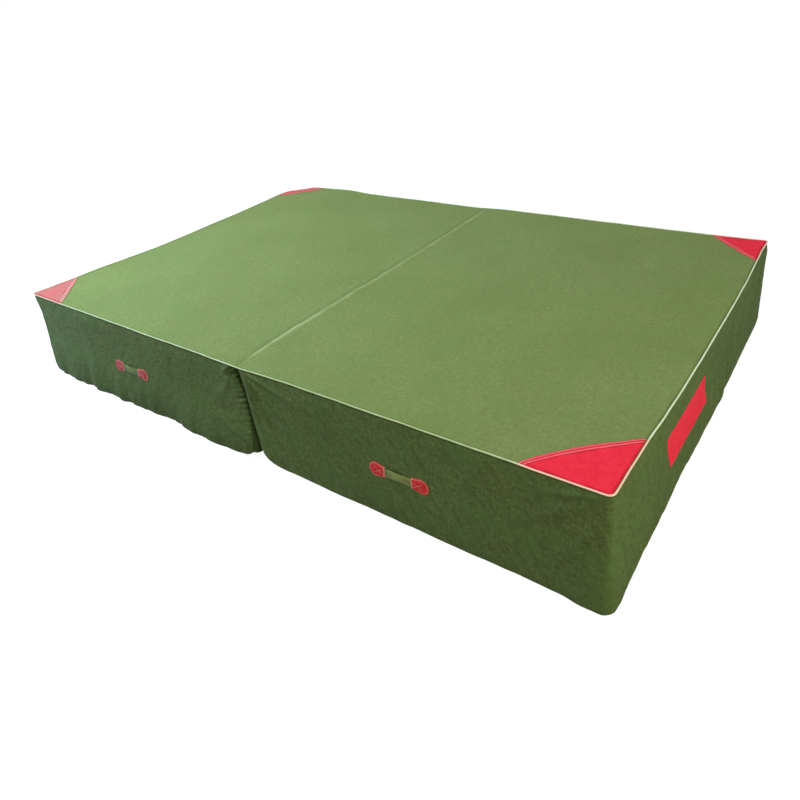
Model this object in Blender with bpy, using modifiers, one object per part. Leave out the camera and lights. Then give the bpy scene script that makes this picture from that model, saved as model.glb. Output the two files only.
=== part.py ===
"""Folding gymnastics mat: two foam blocks in one canvas cover that folds along its top centre line.

Metres, +Z up. The origin lies under the middle of the mat, on the surface that it rests on.
+X runs along the length, from the left block to the right one, and +Y away from the near long side.
Each piece of the right block is modelled once. The left block has the same pieces, half a turn about Z.
"""
import bpy
import bmesh
from math import atan2, cos, pi, sin, sqrt
from mathutils import Euler, Matrix, Vector

# Driving dimensions of the mat
MAT_LENGTH = 3.0
MAT_WIDTH = 2.0
COVER_HEIGHT = 0.437
CLEARANCE = 0.0003

# The space between the two blocks, which widens towards the floor
GAP_AT_TOP = 0.020
GAP_AT_FLOOR = 0.104
OUTER_CORNER_RADIUS = 0.020
INNER_CORNER_RADIUS = 0.016

# Cover cloth and the piping that is sewn into its top seam
CLOTH = 0.0015
PATCH_CLOTH = 0.0012
PIPING_RADIUS = 0.004
PIPING_STANDS_PROUD = 0.003
HINGE_ABOVE_PIPING = 0.0005

# Foam inside each block
FIRM_LAYER = 0.050
FOAM_TOP_ROUND = 0.012
FOAM_BASE_ROUND = 0.008

# Tape under the top panels, along the fold
FOLD_TAPE_WIDTH = 0.032
FOLD_TAPE_THICKNESS = 0.0012
FOLD_TAPE_END_MARGIN = 0.020

# Red corner patches on the top: the length of both straight edges, and the bow of the long one
NEAR_RIGHT_PATCH = 0.280
FAR_RIGHT_PATCH = 0.236
NEAR_LEFT_PATCH = 0.242
FAR_LEFT_PATCH = 0.236
NEAR_RIGHT_BOW = 0.020
FAR_RIGHT_BOW = 0.008
NEAR_LEFT_BOW = 0.004
FAR_LEFT_BOW = 0.012

# Red patch on the right end wall
END_PATCH_LENGTH = 0.440
END_PATCH_HEIGHT = 0.150
END_PATCH_MIDDLE_Y = -0.250
END_PATCH_MIDDLE_Z = 0.225
END_PATCH_CORNER = 0.006

# Carry handles, two on each long side
HANDLE_FROM_END = 0.738
HANDLE_Z = 0.200
HANDLE_PATCH_GAP = 0.109
HANDLE_PATCH_LENGTH = 0.070
HANDLE_PATCH_HEIGHT = 0.060
HANDLE_PATCH_EDGE = 0.0015
HANDLE_PATCH_SLOPE = 0.004
WEBBING_WIDTH = 0.040
WEBBING_THICKNESS = 0.0025
SEWN_TAIL = 0.052
STRAP_RAMP = 0.026
STRAP_STANDS_OFF = 0.018
STRAP_SAG = 0.012

# Zip in each inner wall
ZIP_END_MARGIN = 0.140
ZIP_HEIGHT_ABOVE_FLOOR = 0.218
TAPE_WIDTH = 0.014
TAPE_THICKNESS = 0.0010
COIL_WIDTH = 0.0032
COIL_THICKNESS = 0.0030
COIL_SLIT = 0.0014
STOP_LENGTH = 0.005
SLIDER_LENGTH = 0.028
SLIDER_TAIL_LENGTH = 0.012
SLIDER_RUNNING_GAP = 0.0005
SLIDER_WING = 0.0015
SLIDER_FLANGE = 0.0018
SLIDER_NOSE_FLARE = 0.0030
BRIDGE_LENGTH = 0.005
BRIDGE_THICKNESS = 0.0008
LUG_LENGTH = 0.007
LUG_WIDTH = 0.003
LUG_HEIGHT = 0.0046
LUG_HOLE_RADIUS = 0.0014
PULL_LENGTH = 0.036
PULL_WIDTH = 0.009
PULL_THICKNESS = 0.0018
PULL_PIN_RADIUS = 0.0009
PULL_FORK_GAP = 0.0036
LUG_WALL = 0.0009
ZIP_GROOVE_MARGIN = 0.0015

# Smoothness of the rounded forms
ARC_STEPS = 6
EDGE_STEPS = 3
CAP_STEPS = 12
PATCH_CURVE_STEPS = 16
RAMP_STEPS = 8
SLOPE_STEP = 0.0002

# Sizes that follow from those above
WALL_X = MAT_LENGTH / 2 - PIPING_STANDS_PROUD
WALL_Y = MAT_WIDTH / 2 - PIPING_STANDS_PROUD
PIPING_INSET = PIPING_RADIUS - PIPING_STANDS_PROUD
PIPING_Z = COVER_HEIGHT - PIPING_INSET
HINGE_Z = PIPING_Z + PIPING_RADIUS + HINGE_ABOVE_PIPING
SEAM_INSET = PIPING_INSET + PIPING_RADIUS + CLEARANCE
WALL_TOP = PIPING_Z - PIPING_RADIUS - CLEARANCE
WALL_BASE = CLOTH + CLEARANCE
SLANT = atan2((GAP_AT_FLOOR - GAP_AT_TOP) / 2, COVER_HEIGHT)
FOAM_INSET = CLOTH + CLEARANCE
FOAM_TOP = COVER_HEIGHT - CLOTH - CLEARANCE
FOAM_BASE = CLOTH + CLEARANCE
FOAM_JOIN = FOAM_TOP - FIRM_LAYER
FOLD_TAPE_TOP = COVER_HEIGHT - CLOTH - CLEARANCE
INNER_WALL_TOP = FOLD_TAPE_TOP - FOLD_TAPE_THICKNESS - CLEARANCE
ZIP_LENGTH = MAT_WIDTH - 2 * ZIP_END_MARGIN
CHAIN_HALF = COIL_SLIT / 2 + COIL_WIDTH
TAPE_MIDDLE_DEPTH = -CLOTH / 2
COIL_TOP = TAPE_MIDDLE_DEPTH + COIL_THICKNESS / 2
COIL_BASE = TAPE_MIDDLE_DEPTH - COIL_THICKNESS / 2
WING_TOP = COIL_TOP + SLIDER_RUNNING_GAP + SLIDER_WING
WING_BASE = COIL_BASE - SLIDER_RUNNING_GAP - SLIDER_WING
SLIDER_HALF_WIDTH = CHAIN_HALF + SLIDER_RUNNING_GAP + SLIDER_FLANGE
SLIDER_NOSE_HALF = SLIDER_HALF_WIDTH + SLIDER_NOSE_FLARE
SLIDER_REST_X = ZIP_LENGTH / 2 - STOP_LENGTH - CLEARANCE - SLIDER_LENGTH / 2
PULL_PIVOT_DEPTH = WING_TOP + LUG_HEIGHT - LUG_HOLE_RADIUS - LUG_WALL
GROOVE_HALF = SLIDER_NOSE_HALF + ZIP_GROOVE_MARGIN
GROOVE_DEPTH = -WING_BASE - FOAM_INSET + ZIP_GROOVE_MARGIN / 2
SLOT_HALF = CHAIN_HALF + CLEARANCE + TAPE_WIDTH + CLEARANCE
HANDLE_X = MAT_LENGTH / 2 - HANDLE_FROM_END
STRAP_HALF = HANDLE_PATCH_GAP / 2
GRIP_HALF = STRAP_HALF - STRAP_RAMP
TAIL_DEPTH = CLEARANCE + WEBBING_THICKNESS / 2
POCKET_TOP = CLEARANCE + WEBBING_THICKNESS + CLEARANCE
HANDLE_PATCH_TOP = POCKET_TOP + PATCH_CLOTH


def inner_x(z):
    """Distance from the fold line to the inner wall's outer face at height z."""
    return GAP_AT_TOP / 2 + (COVER_HEIGHT - z) / COVER_HEIGHT * (GAP_AT_FLOOR - GAP_AT_TOP) / 2


def arc(centre, radius, start, end, steps=ARC_STEPS):
    """Points on an arc about centre, from the angle start to the angle end, both included."""
    angles = [start + (end - start) * i / steps for i in range(steps + 1)]
    return [(centre[0] + radius * cos(a), centre[1] + radius * sin(a)) for a in angles]


def block_outline(z, inset=0.0, groove=0.0):
    """Counter-clockwise plan of the right block at height z, drawn in from its faces by inset.

    It starts and ends on the inner side, which is the edge that closes it. groove moves only that side,
    into the block."""
    left = inner_x(z) + inset / cos(SLANT) + groove
    right = WALL_X - inset
    half = WALL_Y - inset
    inner = INNER_CORNER_RADIUS - inset
    outer = OUTER_CORNER_RADIUS - inset
    near_inner = arc((left + inner, inner - half), inner, pi, 1.5 * pi)
    near_outer = arc((right - outer, outer - half), outer, 1.5 * pi, 2 * pi)
    far_outer = arc((right - outer, half - outer), outer, 0, pi / 2)
    far_inner = arc((left + inner, half - inner), inner, pi / 2, pi)
    return near_inner + near_outer + far_outer + far_inner


def mesh_object(name, bm, material):
    """A named object with its own mesh, taken from bm."""
    mesh = bpy.data.meshes.new(name)
    bm.to_mesh(mesh)
    bm.free()
    mesh.materials.append(material)
    thing = bpy.data.objects.new(name, mesh)
    PARTS.objects.link(thing)
    return thing


def loft(rings):
    """A closed solid through rings of 3-D points, the first and the last one capped."""
    bm = bmesh.new()
    rows = [[bm.verts.new(p) for p in ring] for ring in rings]
    for low, high in zip(rows, rows[1:]):
        for i in range(len(low)):
            j = (i + 1) % len(low)
            bm.faces.new((low[i], low[j], high[j], high[i]))
    bm.faces.new(list(reversed(rows[0])))
    bm.faces.new(rows[-1])
    bmesh.ops.recalc_face_normals(bm, faces=bm.faces)
    return bm


def level(outline, z):
    """An outline in plan, lifted to height z."""
    return [(x, y, z) for x, y in outline]


def box_mesh(low, high):
    """A box between two corners."""
    bm = bmesh.new()
    size = Vector(high) - Vector(low)
    middle = (Vector(high) + Vector(low)) / 2
    place = Matrix.Translation(middle) @ Matrix.Diagonal((*size, 1.0))
    bmesh.ops.create_cube(bm, size=1.0, matrix=place)
    return bm


def smooth(thing, angle=0.6):
    """Round pieces are shaded smooth, with their real edges kept sharp."""
    thing.data.shade_smooth()
    thing.data.set_sharp_from_angle(angle=angle)
    return thing


def sheet(thing, thickness):
    """Gives an open surface its cloth thickness, behind the surface."""
    solid = thing.modifiers.new("cloth", "SOLIDIFY")
    solid.thickness = thickness
    solid.offset = -1.0
    solid.use_even_offset = True
    return thing


def flat_piece(name, outline, thickness, material):
    """A flat cloth piece cut to an outline, from z = 0 up to its thickness."""
    curve = bpy.data.curves.new(name, "CURVE")
    curve.dimensions = "2D"
    curve.fill_mode = "BOTH"
    curve.extrude = thickness / 2
    spline = curve.splines.new("POLY")
    spline.points.add(len(outline) - 1)
    for point, (x, y) in zip(spline.points, outline):
        point.co = (x, y, 0.0, 1.0)
    spline.use_cyclic_u = True
    drawn = bpy.data.objects.new(name + "_outline", curve)
    PARTS.objects.link(drawn)
    bm = mesh_of_curve(drawn)
    bmesh.ops.translate(bm, verts=bm.verts, vec=(0.0, 0.0, thickness / 2))
    return mesh_object(name, bm, material)


def mesh_of_curve(drawn):
    """The welded mesh of a curve object, which is then removed."""
    bpy.context.view_layer.update()
    evaluated = drawn.evaluated_get(bpy.context.evaluated_depsgraph_get())
    mesh = bpy.data.meshes.new_from_object(evaluated)
    bm = bmesh.new()
    bm.from_mesh(mesh)
    bmesh.ops.remove_doubles(bm, verts=bm.verts, dist=0.00001)
    bmesh.ops.recalc_face_normals(bm, faces=bm.faces)
    bpy.data.objects.remove(drawn)
    bpy.data.meshes.remove(mesh)
    return bm


def tube(name, points, radius, material):
    """A round cord along points."""
    curve = bpy.data.curves.new(name, "CURVE")
    curve.dimensions = "3D"
    curve.bevel_depth = radius
    curve.bevel_resolution = 2
    curve.use_fill_caps = True
    spline = curve.splines.new("POLY")
    spline.points.add(len(points) - 1)
    for point, place in zip(spline.points, points):
        point.co = (*place, 1.0)
    drawn = bpy.data.objects.new(name + "_line", curve)
    PARTS.objects.link(drawn)
    return smooth(mesh_object(name, mesh_of_curve(drawn), material))


def cut(thing, cutter_mesh, label, operation="DIFFERENCE"):
    """Cuts a shape out of a piece, or joins it on, with a tool that stays beside it."""
    mesh = bpy.data.meshes.new(label)
    cutter_mesh.to_mesh(mesh)
    cutter_mesh.free()
    tool = bpy.data.objects.new(label, mesh)
    CUTTERS.objects.link(tool)
    tool.hide_render = True
    tool.display_type = "WIRE"
    tool.parent = thing
    boolean = thing.modifiers.new(label, "BOOLEAN")
    boolean.operation = operation
    boolean.object = tool
    return tool


def finish(name, colour, roughness, metallic=0.0):
    """A material with the piece's own colour."""
    material = bpy.data.materials.new(name)
    material.use_nodes = True
    shader = material.node_tree.nodes["Principled BSDF"]
    shader.inputs["Base Color"].default_value = (*colour, 1.0)
    shader.inputs["Roughness"].default_value = roughness
    shader.inputs["Metallic"].default_value = metallic
    return material


def empty(name, place, parent=None):
    """A frame that pieces hang on, at a place given as a matrix."""
    frame = bpy.data.objects.new(name, None)
    frame.empty_display_size = 0.05
    PARTS.objects.link(frame)
    frame.parent = parent
    frame.matrix_local = place
    return frame


def turned(place, angle):
    """A place with a turn about Z."""
    return Matrix.Translation(place) @ Euler((0, 0, angle)).to_matrix().to_4x4()


def put(thing, parent, offset=(0.0, 0.0, 0.0)):
    """Hangs a piece on its frame."""
    thing.parent = parent
    thing.location = offset
    return thing


def foam_core():
    """Soft foam block, with a groove behind the zip, where the slider presses in."""
    z_groove = ZIP_HEIGHT_ABOVE_FLOOR
    half = GROOVE_HALF
    rings = []
    for i in range(EDGE_STEPS + 1):
        angle = i / EDGE_STEPS * pi / 2
        inset = FOAM_INSET + FOAM_BASE_ROUND * (1 - sin(angle))
        rings.append((FOAM_BASE + FOAM_BASE_ROUND * (1 - cos(angle)), inset, 0.0))
    rings += [
        (z_groove - half - GROOVE_DEPTH, FOAM_INSET, 0.0),
        (z_groove - half, FOAM_INSET, GROOVE_DEPTH),
        (z_groove + half, FOAM_INSET, GROOVE_DEPTH),
        (z_groove + half + GROOVE_DEPTH, FOAM_INSET, 0.0),
        (FOAM_JOIN - CLEARANCE, FOAM_INSET, 0.0),
    ]
    return loft([level(block_outline(z, inset, groove), z) for z, inset, groove in rings])


def firm_layer():
    """Firmer landing foam on the core, rounded along its top edges."""
    rings = [(FOAM_JOIN, FOAM_INSET)]
    for i in range(EDGE_STEPS + 1):
        angle = i / EDGE_STEPS * pi / 2
        inset = FOAM_INSET + FOAM_TOP_ROUND * (1 - cos(angle))
        rings.append((FOAM_TOP - FOAM_TOP_ROUND * (1 - sin(angle)), inset))
    return loft([level(block_outline(z, inset), z) for z, inset in rings])


def wall_strip():
    """One long strip of cover cloth round the near side, the end and the far side."""
    bm = bmesh.new()
    low = [bm.verts.new(p) for p in level(block_outline(WALL_BASE), WALL_BASE)]
    high = [bm.verts.new(p) for p in level(block_outline(WALL_TOP), WALL_TOP)]
    for i in range(len(low) - 1):
        bm.faces.new((low[i], low[i + 1], high[i + 1], high[i]))
    return bm


def inner_wall():
    """Cover cloth of the wall inside the fold, with the zip's slot. Drawn in the zip's own frame."""
    along = WALL_Y - INNER_CORNER_RADIUS - CLEARANCE
    bottom = (WALL_BASE - ZIP_HEIGHT_ABOVE_FLOOR) / cos(SLANT)
    top = (INNER_WALL_TOP - ZIP_HEIGHT_ABOVE_FLOOR) / cos(SLANT)
    slot_end = ZIP_LENGTH / 2 + CLEARANCE
    columns = [-along, -slot_end, slot_end, along]
    rows = [bottom, -SLOT_HALF, SLOT_HALF, top]
    bm = bmesh.new()
    grid = [[bm.verts.new((x, y, 0.0)) for x in columns] for y in rows]
    for r in range(3):
        for c in range(3):
            if (r, c) != (1, 1):
                bm.faces.new((grid[r][c], grid[r][c + 1], grid[r + 1][c + 1], grid[r + 1][c]))
    return bm


def top_panel_outline():
    """Plan of the top panel, from the fold line out to the piping."""
    right = WALL_X - SEAM_INSET
    half = WALL_Y - SEAM_INSET
    radius = OUTER_CORNER_RADIUS - SEAM_INSET
    near = arc((right - radius, radius - half), radius, 1.5 * pi, 2 * pi)
    far = arc((right - radius, half - radius), radius, 0, pi / 2)
    return [(CLEARANCE / 2, -half)] + near + far + [(CLEARANCE / 2, half)]


def piping_line():
    """Middle of the piping's cord, from the fold line round the block and back to it."""
    right = WALL_X - PIPING_INSET
    half = WALL_Y - PIPING_INSET
    radius = OUTER_CORNER_RADIUS - PIPING_INSET
    near = arc((right - radius, radius - half), radius, 1.5 * pi, 2 * pi)
    far = arc((right - radius, half - radius), radius, 0, pi / 2)
    line = [(CLEARANCE / 2, -half)] + near + far + [(CLEARANCE / 2, half)]
    return level(line, PIPING_Z)


def corner_patch_outline(leg, bulge):
    """A three-sided patch for the corner at +X, -Y, whose long edge bows towards the mat's middle."""
    right = WALL_X - SEAM_INSET
    near = SEAM_INSET - WALL_Y
    radius = OUTER_CORNER_RADIUS - SEAM_INSET
    chord = leg * sqrt(2)
    bow_radius = (chord**2 / 4 + bulge**2) / (2 * bulge)
    middle_x = right - leg / 2 + (bow_radius - bulge) / sqrt(2)
    middle_y = near + leg / 2 - (bow_radius - bulge) / sqrt(2)
    spread = atan2(chord / 2, bow_radius - bulge)
    bow = arc((middle_x, middle_y), bow_radius, 0.75 * pi - spread, 0.75 * pi + spread, PATCH_CURVE_STEPS)
    corner = arc((right - radius, near + radius), radius, 1.5 * pi, 2 * pi)
    return corner + bow


def end_patch_outline():
    """Rounded rectangle."""
    x = END_PATCH_LENGTH / 2 - END_PATCH_CORNER
    y = END_PATCH_HEIGHT / 2 - END_PATCH_CORNER
    corners = [((x, -y), 1.5 * pi), ((x, y), 0.0), ((-x, y), 0.5 * pi), ((-x, -y), pi)]
    return [p for place, start in corners for p in arc(place, END_PATCH_CORNER, start, start + pi / 2, 3)]


def handle_patch_outline(inset):
    """Straight on the strap's side and round at the far end, for the patch on the +X side of a handle."""
    half = HANDLE_PATCH_HEIGHT / 2 - inset
    start = STRAP_HALF + inset
    tip = STRAP_HALF + HANDLE_PATCH_LENGTH - inset
    straight_end = tip - half
    round_end = arc((straight_end, 0.0), half, -pi / 2, pi / 2, CAP_STEPS)
    return [(start, -half)] + round_end + [(start, half)]


def handle_patch():
    """A cloth patch that lies on the wall at its edge and rises over the strap's sewn tail."""
    rings = [
        (CLEARANCE, 0.0),
        (HANDLE_PATCH_EDGE, 0.0),
        (HANDLE_PATCH_TOP, HANDLE_PATCH_SLOPE),
    ]
    return loft([[(x, -depth, z) for x, z in handle_patch_outline(inset)] for depth, inset in rings])


def handle_pocket():
    """The space under the patch that the strap's tail is sewn into."""
    half = WEBBING_WIDTH / 2 + CLEARANCE
    low = (STRAP_HALF - CLEARANCE, -POCKET_TOP, -half)
    high = (STRAP_HALF + SEWN_TAIL + CLEARANCE, CLEARANCE, half)
    return box_mesh(low, high)


def strap_middle(x):
    """Distance from the wall and drop of the strap's middle line at x from the handle's middle."""
    rise = min(max((STRAP_HALF - abs(x)) / STRAP_RAMP, 0.0), 1.0)
    rise = rise * rise * (3 - 2 * rise)
    return TAIL_DEPTH + (STRAP_STANDS_OFF - TAIL_DEPTH) * rise, -STRAP_SAG * rise


def strap_section(x):
    """The strap's four corners at x, square to its middle line as seen from above."""
    off, drop = strap_middle(x)
    slope = (strap_middle(x + SLOPE_STEP)[0] - strap_middle(x - SLOPE_STEP)[0]) / (2 * SLOPE_STEP)
    turn = atan2(slope, 1.0)
    dx = WEBBING_THICKNESS / 2 * sin(turn)
    dy = WEBBING_THICKNESS / 2 * cos(turn)
    low = drop - WEBBING_WIDTH / 2
    high = drop + WEBBING_WIDTH / 2
    wall_side = (x + dx, dy - off)
    open_side = (x - dx, -dy - off)
    return [(*wall_side, low), (*open_side, low), (*open_side, high), (*wall_side, high)]


def strap_grip():
    """The middle of the strap, which the hand takes."""
    end = GRIP_HALF - CLEARANCE
    return loft([strap_section(x) for x in (-end, 0.0, end)])


def strap_end():
    """One end of the strap: its ramp down to the wall and the tail that is sewn under the patch."""
    ramp = [GRIP_HALF + STRAP_RAMP * i / RAMP_STEPS for i in range(RAMP_STEPS + 1)]
    return loft([strap_section(x) for x in ramp + [STRAP_HALF + SEWN_TAIL]])


def zip_slider_wing(low, high):
    """One plate of the slider, wide at its nose and narrow at its tail, between two depths."""
    nose = SLIDER_LENGTH / 2
    waist = -SLIDER_LENGTH / 2 + SLIDER_TAIL_LENGTH
    tail = -SLIDER_LENGTH / 2
    half = SLIDER_HALF_WIDTH
    wide = SLIDER_NOSE_HALF
    crown = arc((nose - wide * 0.5, 0.0), wide, -pi / 3, pi / 3, 4)
    outline = [(tail, -half), (waist, -half)] + crown + [(waist, half), (tail, half)]
    return loft([level(outline, low), level(outline, high)])


def zip_slider():
    """Slider: two wings with turned-in flanges, a bridge between them and a lug for the pull."""
    body = zip_slider_wing(WING_TOP - SLIDER_WING, WING_TOP)
    slider = mesh_object("slider_upper_wing", body, ZINC)
    cut(slider, zip_slider_wing(WING_BASE, WING_BASE + SLIDER_WING), "slider_lower_wing", "UNION")
    bridge_end = SLIDER_LENGTH / 2 - SLIDER_RUNNING_GAP
    half = BRIDGE_THICKNESS / 2
    bridge = box_mesh((bridge_end - BRIDGE_LENGTH, -half, WING_BASE + SLIDER_WING / 2),
                      (bridge_end, half, WING_TOP - SLIDER_WING / 2))
    cut(slider, bridge, "slider_bridge", "UNION")
    tape_top = TAPE_MIDDLE_DEPTH + TAPE_THICKNESS / 2
    tape_base = TAPE_MIDDLE_DEPTH - TAPE_THICKNESS / 2
    inside = SLIDER_HALF_WIDTH - SLIDER_FLANGE
    tail = -SLIDER_LENGTH / 2
    for side in (-1, 1):
        edges = sorted((side * inside, side * SLIDER_HALF_WIDTH))
        upper = box_mesh((tail, edges[0], tape_top + SLIDER_RUNNING_GAP),
                         (tail + SLIDER_TAIL_LENGTH, edges[1], WING_TOP - SLIDER_WING / 2))
        lower = box_mesh((tail, edges[0], WING_BASE + SLIDER_WING / 2),
                         (tail + SLIDER_TAIL_LENGTH, edges[1], tape_base - SLIDER_RUNNING_GAP))
        cut(slider, upper, "slider_upper_flange", "UNION")
        cut(slider, lower, "slider_lower_flange", "UNION")
    lug = box_mesh((-LUG_LENGTH / 2, -LUG_WIDTH / 2, WING_TOP - SLIDER_WING / 2),
                   (LUG_LENGTH / 2, LUG_WIDTH / 2, WING_TOP + LUG_HEIGHT))
    cut(slider, lug, "slider_lug", "UNION")
    cut(slider, cross_bar(LUG_HOLE_RADIUS, LUG_WIDTH * 2), "slider_lug_hole")
    return slider


def cross_bar(radius, length):
    """A round bar across the zip, on the pull's axis."""
    bm = bmesh.new()
    place = Matrix.Translation((0, 0, PULL_PIVOT_DEPTH)) @ Matrix.Rotation(pi / 2, 4, "X")
    bmesh.ops.create_cone(bm, cap_ends=True, segments=16, radius1=radius, radius2=radius,
                          depth=length, matrix=place)
    return bm


def zip_pull():
    """Pull tab: a flat tab that forks round the slider's lug, with the pin that joins the fork."""
    low = PULL_PIVOT_DEPTH - PULL_THICKNESS / 2
    high = PULL_PIVOT_DEPTH + PULL_THICKNESS / 2
    half = PULL_WIDTH / 2
    round_end = arc((half - PULL_LENGTH, 0.0), half, pi / 2, 1.5 * pi, CAP_STEPS)
    head = PULL_THICKNESS
    outline = [(head, half)] + round_end + [(head, -half)]
    outline.reverse()
    pull = mesh_object("pull_tab", loft([level(outline, low), level(outline, high)]), ZINC)
    slot_end = -LUG_LENGTH / 2 - PULL_THICKNESS
    fork = box_mesh((slot_end, -PULL_FORK_GAP / 2, low - PULL_THICKNESS),
                    (head * 2, PULL_FORK_GAP / 2, high + PULL_THICKNESS))
    cut(pull, fork, "pull_fork_gap")
    cut(pull, cross_bar(PULL_PIN_RADIUS, PULL_WIDTH - PULL_THICKNESS), "pull_pin", "UNION")
    return pull


def zip_rows(side, base):
    """Tapes and coils above and below the zip's middle line, and the stop at each end of the coils."""
    tape_low = TAPE_MIDDLE_DEPTH - TAPE_THICKNESS / 2
    tape_high = TAPE_MIDDLE_DEPTH + TAPE_THICKNESS / 2
    tape_start = CHAIN_HALF + CLEARANCE
    end = ZIP_LENGTH / 2
    coil_end = end - STOP_LENGTH - CLEARANCE
    for row, sign in (("upper", 1), ("lower", -1)):
        inside, outside = sorted((sign * tape_start, sign * (tape_start + TAPE_WIDTH)))
        tape = box_mesh((-end, inside, tape_low), (end, outside, tape_high))
        put(mesh_object(f"zip_tape_{row}_{side}", tape, ZIP_TAPE), base)
        inside, outside = sorted((sign * COIL_SLIT / 2, sign * CHAIN_HALF))
        coil = box_mesh((-coil_end, inside, COIL_BASE), (coil_end, outside, COIL_TOP))
        put(mesh_object(f"zip_coil_{row}_{side}", coil, ZIP_TAPE), base)
    for place, sign in (("closed_end", 1), ("open_end", -1)):
        first, last = sorted((sign * end, sign * (end - STOP_LENGTH)))
        stop = box_mesh((first, -CHAIN_HALF, COIL_BASE), (last, CHAIN_HALF, COIL_TOP))
        put(mesh_object(f"zip_stop_{place}_{side}", stop, ZINC), base)


def zip_frame(parent, name):
    """Frame on the inner wall's outer face: X along the zip, Y up the slanting wall, Z into the gap."""
    along = Vector((0.0, -1.0, 0.0))
    up = Vector((-sin(SLANT), 0.0, cos(SLANT)))
    out = Vector((-cos(SLANT), 0.0, -sin(SLANT)))
    turn = Matrix((along, up, out)).transposed().to_4x4()
    height = ZIP_HEIGHT_ABOVE_FLOOR
    return empty(name, Matrix.Translation((inner_x(height), 0.0, height)) @ turn, parent)


def build_block(side, frame, drop):
    """The cover and foam of one block. drop is the frame's height, which the pieces are set back by."""
    offset = (0.0, 0.0, -drop)
    put(smooth(mesh_object("foam_core_" + side, foam_core(), SOFT_FOAM)), frame, offset)
    put(smooth(mesh_object("firm_foam_layer_" + side, firm_layer(), FIRM_FOAM)), frame, offset)
    put(smooth(sheet(mesh_object("wall_strip_" + side, wall_strip(), GREEN_CANVAS), CLOTH)), frame, offset)
    base = loft([level(block_outline(0.0), 0.0), level(block_outline(0.0), CLOTH)])
    put(mesh_object("base_panel_" + side, base, BASE_CANVAS), frame, offset)
    top = flat_piece("top_panel_" + side, top_panel_outline(), CLOTH, GREEN_CANVAS)
    put(top, frame, (0.0, 0.0, COVER_HEIGHT - CLOTH - drop))
    put(tube("piping_" + side, piping_line(), PIPING_RADIUS, PALE_CORD), frame, offset)


def build_corner_patch(name, leg, bulge, frame, drop, mirrored):
    """A red corner patch. mirrored puts it on the far corner of the right block's plan."""
    outline = corner_patch_outline(leg, bulge)
    if mirrored:
        outline = [(x, -y) for x, y in reversed(outline)]
    patch = flat_piece(name, outline, PATCH_CLOTH, RED_CLOTH)
    put(patch, frame, (0.0, 0.0, COVER_HEIGHT + CLEARANCE - drop))


def build_handle(name, block_frame, drop, wall_y, turn):
    """A handle on a wall: the grip on its swing axis, its two sewn ends and the patches over them."""
    base = empty(name + "_base", turned((HANDLE_X, wall_y, HANDLE_Z - drop), turn), block_frame)
    swing = empty(name + "_swing", Matrix.Translation((0.0, -TAIL_DEPTH, 0.0)), base)
    put(mesh_object(name + "_grip", strap_grip(), WEBBING), swing, (0.0, TAIL_DEPTH, 0.0))
    for end, mirrored in (("right", False), ("left", True)):
        strap = mirrored_x(strap_end(), mirrored)
        put(smooth(mesh_object(f"{name}_strap_{end}", strap, WEBBING)), base)
        patch = mesh_object(f"{name}_patch_{end}", mirrored_x(handle_patch(), mirrored), RED_CLOTH)
        cut(patch, mirrored_x(handle_pocket(), mirrored), f"{name}_pocket_{end}")
        put(smooth(patch), base)


def mirrored_x(bm, mirrored):
    """The same shape, on the other side of the handle's middle if mirrored is set."""
    if mirrored:
        bmesh.ops.scale(bm, vec=(-1.0, 1.0, 1.0), verts=bm.verts)
        bmesh.ops.reverse_faces(bm, faces=bm.faces)
    return bm


def build_zip(side, block_frame, drop):
    """The inner wall of a block with its zip, the slider and the pull."""
    base = zip_frame(block_frame, "zip_frame_" + side)
    base.location.z -= drop
    put(sheet(mesh_object("inner_wall_" + side, inner_wall(), GREEN_CANVAS), CLOTH), base)
    zip_rows(side, base)
    slider = zip_slider()
    slider.name = "zip_slider_" + side
    put(slider, base, (SLIDER_REST_X, 0.0, 0.0))
    swing = empty("zip_pull_swing_" + side, Matrix.Translation((SLIDER_REST_X, 0.0, PULL_PIVOT_DEPTH)), base)
    pull = zip_pull()
    pull.name = "zip_pull_" + side
    put(pull, swing, (0.0, 0.0, -PULL_PIVOT_DEPTH))


for old in list(bpy.data.objects):
    bpy.data.objects.remove(old)

PARTS = bpy.data.collections.new("folding_gymnastics_mat")
CUTTERS = bpy.data.collections.new("cutters")
bpy.context.scene.collection.children.link(PARTS)
bpy.context.scene.collection.children.link(CUTTERS)

GREEN_CANVAS = finish("green_canvas", (0.160, 0.230, 0.075), 0.85)
BASE_CANVAS = finish("base_canvas", (0.060, 0.080, 0.035), 0.80)
RED_CLOTH = finish("red_cloth", (0.720, 0.035, 0.050), 0.65)
PALE_CORD = finish("pale_cord", (0.560, 0.640, 0.400), 0.55)
WEBBING = finish("olive_webbing", (0.110, 0.130, 0.050), 0.80)
SOFT_FOAM = finish("soft_foam", (0.800, 0.760, 0.620), 0.95)
FIRM_FOAM = finish("firm_foam", (0.350, 0.380, 0.400), 0.90)
ZIP_TAPE = finish("zip_tape", (0.030, 0.035, 0.025), 0.70)
ZINC = finish("zinc", (0.550, 0.550, 0.540), 0.35, 1.0)

right_frame = empty("right_block", Matrix.Identity(4))
left_frame = empty("left_block", turned((0.0, 0.0, HINGE_Z), pi))
BLOCKS = (("right", right_frame, 0.0, "near", "far"), ("left", left_frame, HINGE_Z, "far", "near"))
for block_side, frame, frame_z, front, back in BLOCKS:
    build_block(block_side, frame, frame_z)
    build_zip(block_side, frame, frame_z)
    build_handle(f"handle_{block_side}_{front}", frame, frame_z, -WALL_Y, 0.0)
    build_handle(f"handle_{block_side}_{back}", frame, frame_z, WALL_Y, pi)

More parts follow.
